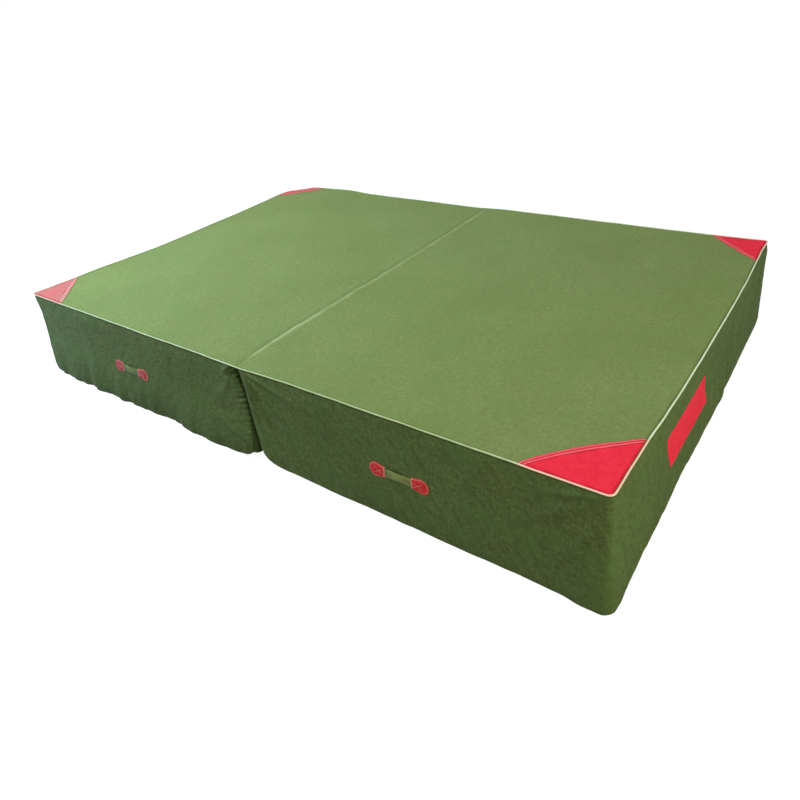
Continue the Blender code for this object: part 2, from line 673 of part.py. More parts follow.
build_corner_patch("corner_patch_near_right", NEAR_RIGHT_PATCH, NEAR_RIGHT_BOW, right_frame, 0.0, False)
build_corner_patch("corner_patch_far_right", FAR_RIGHT_PATCH, FAR_RIGHT_BOW, right_frame, 0.0, True)
build_corner_patch("corner_patch_far_left", FAR_LEFT_PATCH, FAR_LEFT_BOW, left_frame, HINGE_Z, False)
build_corner_patch("corner_patch_near_left", NEAR_LEFT_PATCH, NEAR_LEFT_BOW, left_frame, HINGE_Z, True)

end_patch = flat_piece("end_patch_right", end_patch_outline(), PATCH_CLOTH, RED_CLOTH)
end_place = Vector((WALL_X + CLEARANCE, END_PATCH_MIDDLE_Y, END_PATCH_MIDDLE_Z))
end_turn = Euler((pi / 2, 0.0, pi / 2)).to_matrix().to_4x4()
end_patch.parent = right_frame
end_patch.matrix_local = Matrix.Translation(end_place) @ end_turn

tape_half = FOLD_TAPE_WIDTH / 2
tape_end = WALL_Y - FOLD_TAPE_END_MARGIN
fold_tape = mesh_object("fold_tape", box_mesh((-tape_half, -tape_end, FOLD_TAPE_TOP - FOLD_TAPE_THICKNESS),
                                              (tape_half, tape_end, FOLD_TAPE_TOP)), WEBBING)
put(fold_tape, right_frame)
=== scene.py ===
from math import cos, pi, radians, sin

import bpy
import numpy as np
from mathutils import Matrix, Vector


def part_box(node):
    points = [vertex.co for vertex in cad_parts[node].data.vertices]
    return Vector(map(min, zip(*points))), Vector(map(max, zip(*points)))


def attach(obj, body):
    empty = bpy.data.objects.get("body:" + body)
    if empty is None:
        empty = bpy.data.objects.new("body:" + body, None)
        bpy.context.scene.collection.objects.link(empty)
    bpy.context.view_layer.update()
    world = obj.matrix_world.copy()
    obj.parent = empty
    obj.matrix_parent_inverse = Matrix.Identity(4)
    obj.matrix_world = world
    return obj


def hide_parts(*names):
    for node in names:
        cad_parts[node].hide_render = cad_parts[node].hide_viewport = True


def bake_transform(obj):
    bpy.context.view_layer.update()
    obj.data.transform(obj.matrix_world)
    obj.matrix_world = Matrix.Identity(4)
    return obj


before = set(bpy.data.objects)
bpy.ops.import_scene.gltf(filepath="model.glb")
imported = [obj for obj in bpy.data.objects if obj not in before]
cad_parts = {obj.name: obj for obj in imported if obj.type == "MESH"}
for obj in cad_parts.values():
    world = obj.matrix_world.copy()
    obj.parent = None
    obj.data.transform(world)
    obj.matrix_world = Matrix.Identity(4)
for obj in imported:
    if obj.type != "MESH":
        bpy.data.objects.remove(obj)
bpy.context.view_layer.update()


# Foam blocks
# Each half of the mat is a block of soft open-cell foam with a firmer landing layer glued on top of it.
# The foam is sawn from a bun, so its faces are level, and its edges give way where the cover squeezes them.

WALL_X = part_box("wall_strip_right")[1].x
WALL_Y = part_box("wall_strip_right")[1].y
WALL_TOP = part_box("wall_strip_right")[1].z
GAP_AT_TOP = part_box("wall_strip_right")[0].x
GAP_AT_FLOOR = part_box("base_panel_right")[0].x
OUTER_ROUND = 0.020
FOAM_SLACK = 0.022
FOAM_STEPS = (36, 50, 8)
FOAM_EDGE = 0.034
FIRM_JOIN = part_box("firm_foam_layer_right")[0].z
FOAM_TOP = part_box("firm_foam_layer_right")[1].z
BLOCKS = (("right", 1), ("left", -1))


def smooth(t):
    """Ease from 0 to 1: nothing below 0, one above 1, and 3t^2 - 2t^3 between."""
    t = np.clip(t, 0.0, 1.0)
    return t * t * (3 - 2 * t)


# The lattice of random heights repeats after that many squares, and the mat's middle lies so far into it.
LATTICE = 97
LATTICE_MIDDLE = 500


def drift(a, b, size, seed):
    """Unevenness from -1 to 1: random heights on a square lattice of that size, eased into each other."""
    heights = np.random.default_rng(seed).uniform(-1, 1, (LATTICE, LATTICE))
    a, b = np.broadcast_arrays(a / size + LATTICE_MIDDLE, b / size + LATTICE_MIDDLE)
    i, j = np.floor(a).astype(int), np.floor(b).astype(int)
    s, t = smooth(a - i), smooth(b - j)
    i, j, next_i, next_j = [k % LATTICE for k in (i, j, i + 1, j + 1)]
    low = heights[i, j] * (1 - s) + heights[next_i, j] * s
    high = heights[i, next_j] * (1 - s) + heights[next_i, next_j] * s
    return low * (1 - t) + high * t


def gap(z):
    """Distance from the fold's middle to a block's inner face, which slants back towards the floor."""
    return GAP_AT_FLOOR + (GAP_AT_TOP - GAP_AT_FLOOR) * z / WALL_TOP


def bell(distance, width):
    """A bell curve: 1 at distance 0, and almost nothing past twice the width."""
    return np.exp(-((distance / width) ** 2))


HEM_ROUND = 0.009
# How far the cover's foot stands out past its top, in millimetres, at places along two of its sides:
# the left block's near side, counted from the fold, and the right end, from its near corner.
LEFT_FOOT = ((0, 0.05, 0.10, 0.22, 0.35, 0.42, 0.48, 0.56, 0.66, 0.84, 0.92, 1.00, 1.05, 1.09, 1.15, 1.20,
              1.25, 1.30, 1.42, 1.50),
             (20, 18, 21, 24, 25, 14, 12, 8, 13, 13, 22, 21, 24, 24, 15, 19, 25, 20, 12, 9))
RIGHT_FOOT = ((0, 0.05, 0.10, 0.15, 0.25, 0.40, 0.50, 0.60, 0.70, 0.85, 1.10, 1.27, 1.33, 1.40, 1.50, 1.80,
               2.00),
              (12, 16, 14, 11, 9, 9, 9, 6, 4, 7, 9, 12, 4, 6, 3, 0, 0))
# The right block's near side stands out evenly, by that much, and by so much more at its end.
NEAR_FOOT = 0.007
NEAR_CORNER_FOOT = 0.013
# How far the two sides of the gap are shifted to the right at the front, in millimetres, by height.
GAP_SHIFT = {"left": ((0, 0.08, 0.12, 0.16, 0.22, 0.28, 0.34, 0.38, 0.42, 0.44),
                      (80, 84, 80, 72, 64, 54, 42, 20, 4, 0)),
             "right": ((0, 0.08, 0.14, 0.20, 0.30, 0.38, 0.42, 0.44), (25, 26, 21, 16, 12, 9, 5, 0))}
# How far the top's edge droops, in millimetres: the near edge from left to right, and the right end from
# its near corner to its far one, where the edge is also pressed outwards by a share of its droop.
NEAR_DROOP = ((-1.0, -0.8, -0.6, -0.4, -0.2, -0.05, 0.03, 0.15, 0.3), (0, 1, 5, 4, 5, 9, 10, 3, 0))
END_DROOP = ((-0.86, -0.70, -0.57, -0.38, -0.19, 0, 0.38, 0.57, 0.76, 0.86),
             (0, 2, 8, 13, 15, 16, 15, 13, 5, 0))
PRESSED_OUT = 0.65
# How far in from a wall the foam follows it, and over what distance one wall's direction gives way to the
# next one's at a corner.
FOLLOWS = 0.15
TURNS = 0.010
# How deep the left block's top has sunk and how far in from its end, then how much deeper at its far
# corner and along its far edge.
SAG = 0.019
SAG_REACH = 0.55
CORNER_SAG = 0.026
FAR_EDGE_SAG = 0.009
# How far the top is dragged out of place at two of its corners: outwards along x, and along y.
EARS = {(-1, -1): (0.038, -0.004), (1, 1): (0.004, 0.018)}
# How far the foot is drawn up at each block's two corners beside the gap, and at the two of its end.
GAP_CORNER_LIFT = {(1, -1): 0.046, (-1, -1): 0.040, (1, 1): 0.026, (-1, 1): 0.030}
END_CORNER_LIFT = {(1, -1): 0.001, (-1, -1): 0.002, (1, 1): 0.012, (-1, 1): 0.008}


def hem_round(x, y):
    """Radius of the roll at the cover's foot, which wanders."""
    return HEM_ROUND + 0.004 * drift(x + 3 * y, y, 0.11, 11) + 0.002 * drift(x - y, y, 0.04, 12)


def stance(x, y):
    """How far the foot of the cover stands out past its top, from place to place."""
    near_side = smooth((-0.85 - y) / 0.10)
    at_end = smooth((x - WALL_X + 0.025) / 0.025)
    ruffle = 0.005 * drift(x, 0 * y, 0.052, 15) + 0.003 * drift(x, 0 * y, 0.021, 16)
    left = (np.interp(-x, *LEFT_FOOT) / 1000 + ruffle * smooth(-x / 0.15)) * near_side * (x < 0)
    right = np.interp(y + WALL_Y, *RIGHT_FOOT) / 1000
    near = NEAR_FOOT + NEAR_CORNER_FOOT * smooth((x - 1.34) / 0.09)
    return left + near * near_side * (x > 0) * (1 - at_end) + right * at_end


def sag(x, y):
    """How far the top has sunk: the left end is softer, most at its middle and its far corner, and the
    near edge and the right end droop."""
    towards_end = smooth((-x - (WALL_X - SAG_REACH)) / SAG_REACH) * smooth((y + 0.72) / 0.55)
    towards_end = towards_end * (1 - 0.35 * smooth((y - 0.40) / 0.40))
    corner = bell(np.hypot(x + WALL_X, y - WALL_Y), 0.095)
    far_edge = smooth((y - 0.70) / 0.28) * smooth((0.15 - x) / 0.20) * smooth((x + 1.05) / 0.20)
    near_edge = np.interp(x, *NEAR_DROOP) / 1000 * smooth((-0.76 - y) / 0.22)
    right_end = np.interp(y, *END_DROOP) / 1000 * smooth((x - WALL_X + 0.26) / 0.26)
    return SAG * towards_end + CORNER_SAG * corner + FAR_EDGE_SAG * far_edge + near_edge + right_end


def lift(x, y):
    """How far the bottom edge is drawn up off the floor at the blocks' corners, fading inwards."""
    up = 0 * x
    for (sign, end), height in GAP_CORNER_LIFT.items():
        near_gap = np.hypot(np.maximum(x * sign - GAP_AT_FLOOR, 0), y - end * WALL_Y)
        at_end = np.hypot(x - sign * WALL_X, y - end * WALL_Y)
        drawn = height * np.exp(-near_gap / 0.030) + END_CORNER_LIFT[sign, end] * np.exp(-at_end / 0.05)
        up = up + drawn * (x * sign > 0)
    return up


def settled(points):
    """Points of the mat, given as if it were a level box, where they have come to lie.

    The foot of each wall stands out by its stance and is rolled in to the floor: with a roll of radius r,
    by r - sqrt(r^2 - (r - z)^2). Points inside a block move with the nearest wall, less the further in.
    The top sinks by its sag and the bottom edge rises by its lift, both fading with the height, but the
    zips in the inner walls stay where they are. Near the front the two sides of the gap are shifted to the
    right, most the left block's, which bulges into the gap, and the right end is pressed out where its
    edge droops. Two of the top's corners are pulled outwards, where the mat is dragged by them."""
    x, y, z = np.moveaxis(np.asarray(points, float), -1, 0)
    to_end = WALL_X - np.abs(x)
    to_side = WALL_Y - np.abs(y)
    to_gap = np.abs(x) - gap(z)
    radius = hem_round(x, y)
    roll = radius - np.sqrt(np.maximum(radius**2 - np.clip(radius - z, 0, None) ** 2, 0))
    pull = np.exp(-np.stack([to_end, to_gap, to_side]) / TURNS)
    to_wall = np.minimum(to_end, to_side)
    out = pull[[0, 2]] / np.maximum(np.hypot(pull[0], pull[2]), 1e-9)
    out = out * smooth(1 - to_wall / FOLLOWS) * stance(x, y) * (1 - smooth(z / 0.25))
    near_any = np.minimum(to_wall, np.maximum(to_gap, 0))
    back = pull / np.maximum(np.sqrt((pull**2).sum(0)), 1e-9) * smooth(1 - near_any / FOLLOWS) * roll
    shift_start = -0.66 - 0.22 * smooth(z / 0.12)
    shifted = smooth((shift_start - y) / (0.97 + shift_start)) * smooth(1 - to_gap / 0.18)
    by_height = np.where(x < 0, np.interp(z, *GAP_SHIFT["left"]), np.interp(z, *GAP_SHIFT["right"]))
    pressed = np.interp(y, *END_DROOP) * smooth((x - WALL_X + 0.20) / 0.20) * smooth((z - 0.20) / 0.22)
    rightwards = (by_height * shifted + PRESSED_OUT * pressed) / 1000
    moved_x = x + np.sign(x) * (out[0] - back[0] + back[1]) + rightwards
    moved_y = y + np.sign(y) * (out[1] - back[2])
    held = 0.6 * smooth(1 - to_gap / 0.10)
    sinking = smooth((z / WALL_TOP - held) / (1 - held))
    moved_z = z - sag(x, y) * sinking + lift(x, y) * np.clip(1 - z / 0.16, 0, 1)
    for (end, side), (out_x, out_y) in EARS.items():
        away = np.hypot(x - end * WALL_X, y - side * WALL_Y)
        ear = np.exp(-away / 0.14) * smooth((z - 0.07) / 0.08) * (0.28 + 0.72 * smooth((z - 0.34) / 0.09))
        ear = ear * smooth((0.6 - away) / 0.3)
        moved_x = moved_x + end * out_x * ear
        moved_y = moved_y + side * out_y * ear
    return np.stack([moved_x, moved_y, moved_z], -1)


def placed(name, data):
    """An object in the scene that holds a mesh, a lamp or a camera."""
    piece = bpy.data.objects.new(name, data)
    bpy.context.scene.collection.objects.link(piece)
    return piece


def surface(name, points, flat, material, close_rows=False, close_columns=False, shown=None):
    """A piece from a grid of points, once they are settled. Each four neighbours make a face, whose outside
    is where rows turn into columns by the right-hand rule. flat holds the grid's places on the flat cloth,
    in metres, and shown says which of the faces are there, where some are left out."""
    rows, columns = points.shape[:2]
    number = np.arange(rows * columns).reshape(rows, columns)
    if close_rows:
        number = np.vstack([number, number[:1]])
    if close_columns:
        number = np.hstack([number, number[:, :1]])
    corners = (np.s_[:-1, :-1], np.s_[1:, :-1], np.s_[1:, 1:], np.s_[:-1, 1:])
    quads = np.stack([number[c] for c in corners], -1)
    marks = np.stack([flat[c] for c in corners], -2)
    if shown is not None:
        quads = quads[shown]
        marks = marks[shown]
    quads = quads.reshape(-1, 4)
    used, quads = np.unique(quads, return_inverse=True)
    mesh = bpy.data.meshes.new(name)
    mesh.from_pydata(settled(points.reshape(-1, 3)[used]), [], quads.reshape(-1, 4).tolist())
    mesh.uv_layers.new(name="cut").data.foreach_set("uv", marks.astype(np.float32).ravel())
    mesh.materials.append(material)
    mesh.shade_smooth()
    return placed(name, mesh)


def box_faces(steps):
    """The six faces of a box that reaches from 0 to 1 along each axis, as grids that face outwards."""
    faces = []
    for axis in range(3):
        a, b = [k for k in range(3) if k != axis]
        for end in (0, 1):
            points = np.full((steps[a] + 1, steps[b] + 1, 3), float(end))
            points[..., a] = np.linspace(0, 1, steps[a] + 1)[:, None]
            points[..., b] = np.linspace(0, 1, steps[b] + 1)
            outward = (axis != 1) == bool(end)
            faces.append(points if outward else points[:, ::-1])
    return faces


def linear(colour):
    """A hex colour as it looks on a screen, turned to the linear colour that light is reckoned in."""
    parts = np.array([int(colour[i:i + 2], 16) for i in (1, 3, 5)]) / 255
    parts = np.where(parts <= 0.04045, parts / 12.92, ((parts + 0.055) / 1.055) ** 2.4)
    return (*parts.tolist(), 1.0)


def add(tree, kind, sockets=(), **settings):
    """Adds one node. settings are its properties, and sockets gives each input a value or a link."""
    made = tree.nodes.new(kind)
    for key, value in settings.items():
        setattr(made, key, value)
    for key, value in dict(sockets).items():
        if isinstance(value, bpy.types.NodeSocket):
            tree.links.new(value, made.inputs[key])
        else:
            made.inputs[key].default_value = value
    return made


def new_material(name):
    """An empty material with its shader, as (material, node tree, shader)."""
    material = bpy.data.materials.new(name)
    material.use_nodes = True
    return material, material.node_tree, material.node_tree.nodes["Principled BSDF"]


def mixed(tree, share, first, second):
    """A colour between two, each a hex colour or a link: the first at share 0 and the second at 1.
    A Mix node takes its colours at sockets 6 and 7, and gives the mixture at socket 2."""
    first, second = [linear(colour) if isinstance(colour, str) else colour for colour in (first, second)]
    return add(tree, "ShaderNodeMix", {"Factor": share, 6: first, 7: second}, data_type="RGBA").outputs[2]


def coat(tree, shader, colour, height, strength, depth, roughness):
    """Gives a shader its colour, its roughness, and a relief of that strength and depth from a height."""
    relief = add(tree, "ShaderNodeBump", {"Height": height, "Strength": strength, "Distance": depth})
    tree.links.new(colour, shader.inputs["Base Color"])
    tree.links.new(relief.outputs["Normal"], shader.inputs["Normal"])
    shader.inputs["Roughness"].default_value = roughness


def polyether_foam(name, pale, dark, cell):
    """Open-cell polyether foam: a matt face, pitted with cut cells that show as fine dark specks."""
    material, tree, shader = new_material(name)
    where = add(tree, "ShaderNodeTexCoord").outputs["Object"]
    cells = add(tree, "ShaderNodeTexVoronoi", {"Vector": where, "Scale": 1 / cell}).outputs["Distance"]
    coat(tree, shader, mixed(tree, cells, dark, pale), cells, 0.5, cell / 2, 0.95)
    return material


# Cells are 1.5 mm across in the soft foam and 0.9 mm in the firm foam.
SOFT_FOAM = polyether_foam("soft_polyether_foam", "#ece2c4", "#c9b98c", 0.0015)
FIRM_FOAM = polyether_foam("firm_polyether_foam", "#a9aeb0", "#6f7578", 0.0009)


def foam_block(name, sign, low_z, high_z, foam):
    """A foam block: six faces joined to a box, whose inner side slants with the gap. Each point lies at its
    shares, from 0 to 1, of the way from face to face, and a bevel rounds the edges."""
    half = WALL_Y - FOAM_SLACK
    parts = []
    for points in box_faces(FOAM_STEPS):
        z = low_z + points[..., 2] * (high_z - low_z)
        left = gap(z) + FOAM_SLACK
        x = left + points[..., 0] * (WALL_X - FOAM_SLACK - left)
        y = half * (2 * points[..., 1] - 1)
        grid = np.stack([x * sign, y, z], -1)[::sign]
        parts.append(surface(name + "_face", grid, grid[..., :2], foam))
    bpy.ops.object.select_all(action="DESELECT")
    for part in parts:
        part.select_set(True)
    block = parts[0]
    bpy.context.view_layer.objects.active = block
    bpy.ops.object.join()
    block.name = name
    block.modifiers.new("weld", "WELD").merge_threshold = 0.0001
    edges = block.modifiers.new("soft_edges", "BEVEL")
    edges.width = FOAM_EDGE
    edges.segments = 3
    edges.limit_method = "ANGLE"
    edges.angle_limit = radians(50)
    return block


for side, sign in BLOCKS:
    core = foam_block(f"foam_block_{side}", sign, 0.006, FIRM_JOIN, SOFT_FOAM)
    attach(core, f"{side}_block")
    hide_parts(f"foam_core_{side}")
    firm = foam_block(f"landing_foam_{side}", sign, FIRM_JOIN + 0.0003, FOAM_TOP - 0.003, FIRM_FOAM)
    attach(firm, f"{side}_block")
    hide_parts(f"firm_foam_layer_{side}")


# Wall strips
# The sides of the cover: one strip of green canvas for each block, round its near side, end and far side.
# It is sewn into the piped seam above and to the base below, and hangs a little slack over the foam.

CLOTH = 0.0015
# Heights of the lowest rows, which follow the roll at the foot, and of the first one above them. Then the
# cloth's height off the floor, and how far in and up its edge is tucked.
LOW_ROWS = (0.0, 0.0008, 0.0022, 0.0045, 0.0075)
ROWS_FROM = 0.0115
OFF_FLOOR = 0.0004
TUCK_IN = 0.006
TUCK_UP = 0.0018
INNER_ROUND = {"right": 0.007, "left": 0.011}
WALL_ROW = 0.0038
# What lies that far out from the mat's middle line belongs to the near or the far side.
SIDE_FROM = 0.99
SEAM_TUCK = 0.0045
# The upright seams beside the gap: how far apart and how deep the scallops of the cloth are, how far the
# seam pulls the cloth in, how far round the corner it lies, and the share of all that at the far side.
PUCKER_PITCH = 0.025
PUCKER = {"right": 0.0012, "left": 0.0115}
SEAM_PULL = {"right": 0.002, "left": 0.010}
SEAM_IN = {"right": 0.0, "left": 0.006}
FAR_SHARE = 0.45
GRIP_LOW, GRIP_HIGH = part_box("handle_right_near_grip")
HANDLE_X = (GRIP_LOW.x + GRIP_HIGH.x) / 2
PATCH_LOW, PATCH_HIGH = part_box("handle_right_near_patch_right")
HANDLE_Z = (PATCH_LOW.z + PATCH_HIGH.z) / 2
END_LOW, END_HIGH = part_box("end_patch_right")
BADGE_Y = (END_LOW.y + END_HIGH.y) / 2
BADGE_Z = (END_LOW.z + END_HIGH.z) / 2
# How far the calm cloth reaches from the middles of the handles and of the end patch, along and up.
HANDLE_REACH = (0.19, 0.085)
BADGE_REACH = ((END_HIGH.y - END_LOW.y) * 0.75, (END_HIGH.z - END_LOW.z) * 0.90)


def quarter(x, y, radius, start, steps=8):
    """Points on a quarter circle about (x, y), counter-clockwise from the angle start."""
    angle = start + np.linspace(0, pi / 2, steps)
    return np.stack([x + radius * np.cos(angle), y + radius * np.sin(angle)], -1)


def walk_round(inner, step=0.016, fine=0.006, fine_reach=0.13):
    """The strip's line in plan, from the seam inside the near gap corner round to the far one.
    x is counted from the gap. The points lie closer together beside the gap, where the cloth gathers."""
    near = WALL_Y - OUTER_ROUND
    end = WALL_X - OUTER_ROUND
    beside_gap = np.arange(inner + fine, fine_reach, fine)
    along = np.concatenate([beside_gap, np.linspace(fine_reach, end, int((end - fine_reach) / step))[:-1]])
    across = np.linspace(-near, near, int(2 * near / step))[1:-1]
    return np.concatenate([
        quarter(inner, inner - WALL_Y, inner, pi),
        np.stack([along, np.full_like(along, -WALL_Y)], -1),
        quarter(end, -near, OUTER_ROUND, 1.5 * pi),
        np.stack([np.full_like(across, WALL_X), across], -1),
        quarter(end, near, OUTER_ROUND, 0.0),
        np.stack([along[::-1], np.full_like(along, WALL_Y)], -1),
        quarter(inner, WALL_Y - inner, inner, pi / 2),
    ])


def crease(along, height, fold):
    """A fold on a wall, from its row of the table: a bell across it, strongest near its start."""
    start_along, start_height, end_along, end_height, width, depth = np.divide(fold, 1000)
    run = np.array([end_along - start_along, end_height - start_height])
    length = np.hypot(*run)
    run = run / length
    share = ((along - start_along) * run[0] + (height - start_height) * run[1]) / length
    off = (height - start_height) * run[0] - (along - start_along) * run[1]
    spread = width * (0.45 + 0.9 * np.clip(share, 0, 1))
    return depth * bell(off, spread) * smooth(share * 6) * smooth((1 - share) * 1.6)


# Folds on the walls, in millimetres: the place along the wall and the height where a fold starts, the same
# where it ends, its width and its depth. The place is x, or y on the ends.
FOLDS = {
    ("right", "near"): [
        (26, 428, 330, 190, 13, 12.5), (26, 422, 200, 90, 12, 11.5),
        (30, 428, 450, 320, 11, 8.5), (34, 400, 90, 60, 11, 4.5),
        (1470, 424, 1230, 350, 13, 7), (1450, 400, 1160, 180, 20, 6),
        (1480, 330, 1290, 60, 19, 5.5), (800, 425, 930, 200, 22, 3.5),
        (1100, 425, 1020, 160, 20, 2.2), (540, 425, 600, 60, 24, 2.2),
    ],
    ("left", "near"): [
        (-16, 434, -88, 398, 6.2, 25), (-20, 416, -82, 374, 7.5, -15),
        (-40, 415, -190, 190, 16, 5), (-50, 60, -240, 200, 18, 4.5),
        (-420, 425, -500, 120, 22, 2.4), (-1470, 420, -1300, 200, 14, 3.4),
        (-1100, 425, -1050, 80, 24, 2.2),
    ],
    ("right", "end"): [
        (-970, 420, -860, 100, 14, 3.4), (-980, 300, -780, 60, 18, 2.6),
        (120, 425, 180, 80, 22, 2.6), (620, 425, 560, 60, 22, 2.8),
        (960, 410, 820, 120, 16, 3),
    ],
    ("left", "end"): [
        (-960, 420, -820, 180, 16, 3.4), (-250, 405, -180, 80, 24, 2.6),
        (380, 405, 330, 80, 24, 2.6), (960, 390, 800, 160, 18, 4),
    ],
    ("right", "far"): [
        (40, 420, 260, 200, 14, 3.4), (1460, 410, 1240, 220, 16, 3.4),
        (980, 425, 1040, 100, 22, 2.2),
    ],
    ("left", "far"): [
        (-40, 420, -230, 240, 14, 3.4), (-1450, 390, -1230, 200, 18, 4),
        (-460, 420, -380, 100, 22, 2.2),
    ],
}


def slack(side, x, y, z, walk):
    """How far the wall cloth stands off its seams: slow swells of the foam, soft upright folds, the
    folds that are listed above, and small gathers under the piped seam. It is calm round the handles and
    round the end patch."""
    body = smooth(z / 0.05) * smooth((WALL_TOP - z) / 0.05)
    swell = 0.0050 * drift(walk, z, 0.33, 3) + 0.0024 * drift(walk, z * 0.35, 0.085, 5)
    ripple = 0.0009 * drift(walk + 0.3 * z, z, 0.030, 7)
    out = body * (0.0015 + swell) + smooth(z / 0.02) * ripple
    gathers = 0.0011 * drift(walk, z * 0.2, 0.026, 9) * np.exp(-np.maximum(WALL_TOP - z, 0) / 0.030)
    out = out + gathers * smooth((WALL_TOP - z) / 0.006)
    faces = {"near": y < -SIDE_FROM, "far": y > SIDE_FROM, "end": np.abs(x) > WALL_X - 0.006}
    for (fold_side, face), folds in FOLDS.items():
        if fold_side == side:
            place = y if face == "end" else x
            for fold in folds:
                out = out + faces[face] * crease(place, z, fold)
    handle = np.hypot((np.abs(x) - HANDLE_X) / HANDLE_REACH[0], (z - HANDLE_Z) / HANDLE_REACH[1])
    badge = np.hypot((y - BADGE_Y) / BADGE_REACH[0], (z - BADGE_Z) / BADGE_REACH[1])
    held = np.where(faces["end"], badge if side == "right" else 9.0, handle)
    return out * smooth((held - 0.75) / 0.5)


def seam_gather(side, away, z):
    """Gathers beside the upright seam by the gap: scallops of cloth between the stitches, which fade with
    the distance away from the seam."""
    slope = 0.35 * away + 0.010 * drift(z, 0.0, 0.06, 13)
    wave = np.cos(2 * pi * (z + slope) / PUCKER_PITCH)
    uneven = 0.68 + 0.62 * drift(z, 0.5, 0.028, 14)
    less_below = 0.12 + 0.88 * smooth((z - 0.10) / 0.20)
    fading = np.exp(-away / 0.023) * smooth((0.10 - away) / 0.06)
    wave = np.sign(wave) * np.abs(wave) ** 0.7
    return PUCKER[side] * wave * uneven * less_below * fading


def gathered(side, from_seam, z, near):
    """The scallops, less what the upright seam pulls the cloth in beside itself. Both are weaker at the
    mat's far side, and they end at the foot and at the top seam."""
    pulled_in = SEAM_PULL[side] * np.exp(-from_seam / 0.012)
    out = (seam_gather(side, from_seam, z) - pulled_in) * np.where(near, 1.0, FAR_SHARE)
    return out * smooth(z / 0.03) * smooth((WALL_TOP - z) / 0.02)


def unit(vectors):
    """The same directions, each with length 1."""
    return vectors / np.linalg.norm(vectors, axis=-1, keepdims=True)


def lengths_along(line):
    """How far along a line of points each of them lies from its start."""
    return np.concatenate([[0], np.cumsum(np.linalg.norm(np.diff(line, axis=0), axis=1))])


def wall_grid(side, sign):
    """Points of a wall strip. Rows go up the wall and columns along the walk round the block. Each point
    is the plan line at that height, moved outwards by the slack and the gathers. The lowest row is tucked
    in under the base, and the top rows into the piped seam."""
    line = walk_round(INNER_ROUND[side])
    step = np.gradient(line, axis=0)
    outward = unit(np.stack([step[:, 1], -step[:, 0]], -1))
    walk = lengths_along(line)
    upper_rows = np.arange(ROWS_FROM, WALL_TOP + 0.001, WALL_ROW)
    z0 = np.concatenate([[0.0], LOW_ROWS, upper_rows, [WALL_TOP + 0.0018]])
    tucked = 1.0 * (np.arange(len(z0)) == 0)[:, None]
    z0, walk = np.meshgrid(z0, walk, indexing="ij")
    left = gap(z0)
    x = left + line[None, :, 0] * (WALL_X - left) / WALL_X
    y = np.broadcast_to(line[None, :, 1], x.shape)
    total = walk[:, -1:]
    away = np.minimum(walk, total - walk)
    out = slack(side, x * sign, y, z0, walk + (0 if sign > 0 else 20))
    out = out + gathered(side, np.abs(away - SEAM_IN[side]), z0, walk < total / 2)
    out = out - TUCK_IN * tucked - SEAM_TUCK * smooth((z0 - WALL_TOP + 0.009) / 0.009)
    px = (x + outward[None, :, 0] * out) * sign
    py = y + outward[None, :, 1] * out
    points = np.stack([px, py, z0 + OFF_FLOOR + TUCK_UP * tucked], -1)
    flat = np.stack([walk, z0 - TUCK_IN * tucked], -1)
    return points, flat


def thicken(piece, thickness):
    """Gives cloth its thickness, on the inner side of the surface."""
    solid = piece.modifiers.new("thickness", "SOLIDIFY")
    solid.thickness = thickness
    solid.offset = -1.0
    return piece


THREAD = 0.0009
DRAWN_THREAD = 0.0028
SLUB = 0.085


def noise(tree, where, scale, detail=2.0, roughness=0.5):
    """Cloudy noise from 0 to 1, with that many clouds to a unit of length."""
    sockets = {"Vector": where, "Scale": scale, "Detail": detail, "Roughness": roughness}
    return add(tree, "ShaderNodeTexNoise", sockets).outputs["Fac"]


def ramp(tree, value, low, high, most=1.0):
    """A straight ramp: nothing at the low value, and the most at the high one."""
    sockets = {"Value": value, "From Min": low, "From Max": high, "To Max": most}
    return add(tree, "ShaderNodeMapRange", sockets).outputs[0]


def reckoned(tree, operation, *values):
    """The result of an operation on values or links."""
    return add(tree, "ShaderNodeMath", dict(enumerate(values)), operation=operation).outputs[0]


def turned(tree, where, degrees, size):
    """Places for a pattern that is turned by an angle and drawn out to a size, in metres."""
    sockets = {"Vector": where, "Rotation": (0, 0, radians(degrees)), "Scale": size}
    return add(tree, "ShaderNodeMapping", sockets, vector_type="TEXTURE").outputs[0]


def marked(tree, name):
    """The value that a piece's points hold under a name."""
    return add(tree, "ShaderNodeAttribute", attribute_name=name).outputs["Fac"]


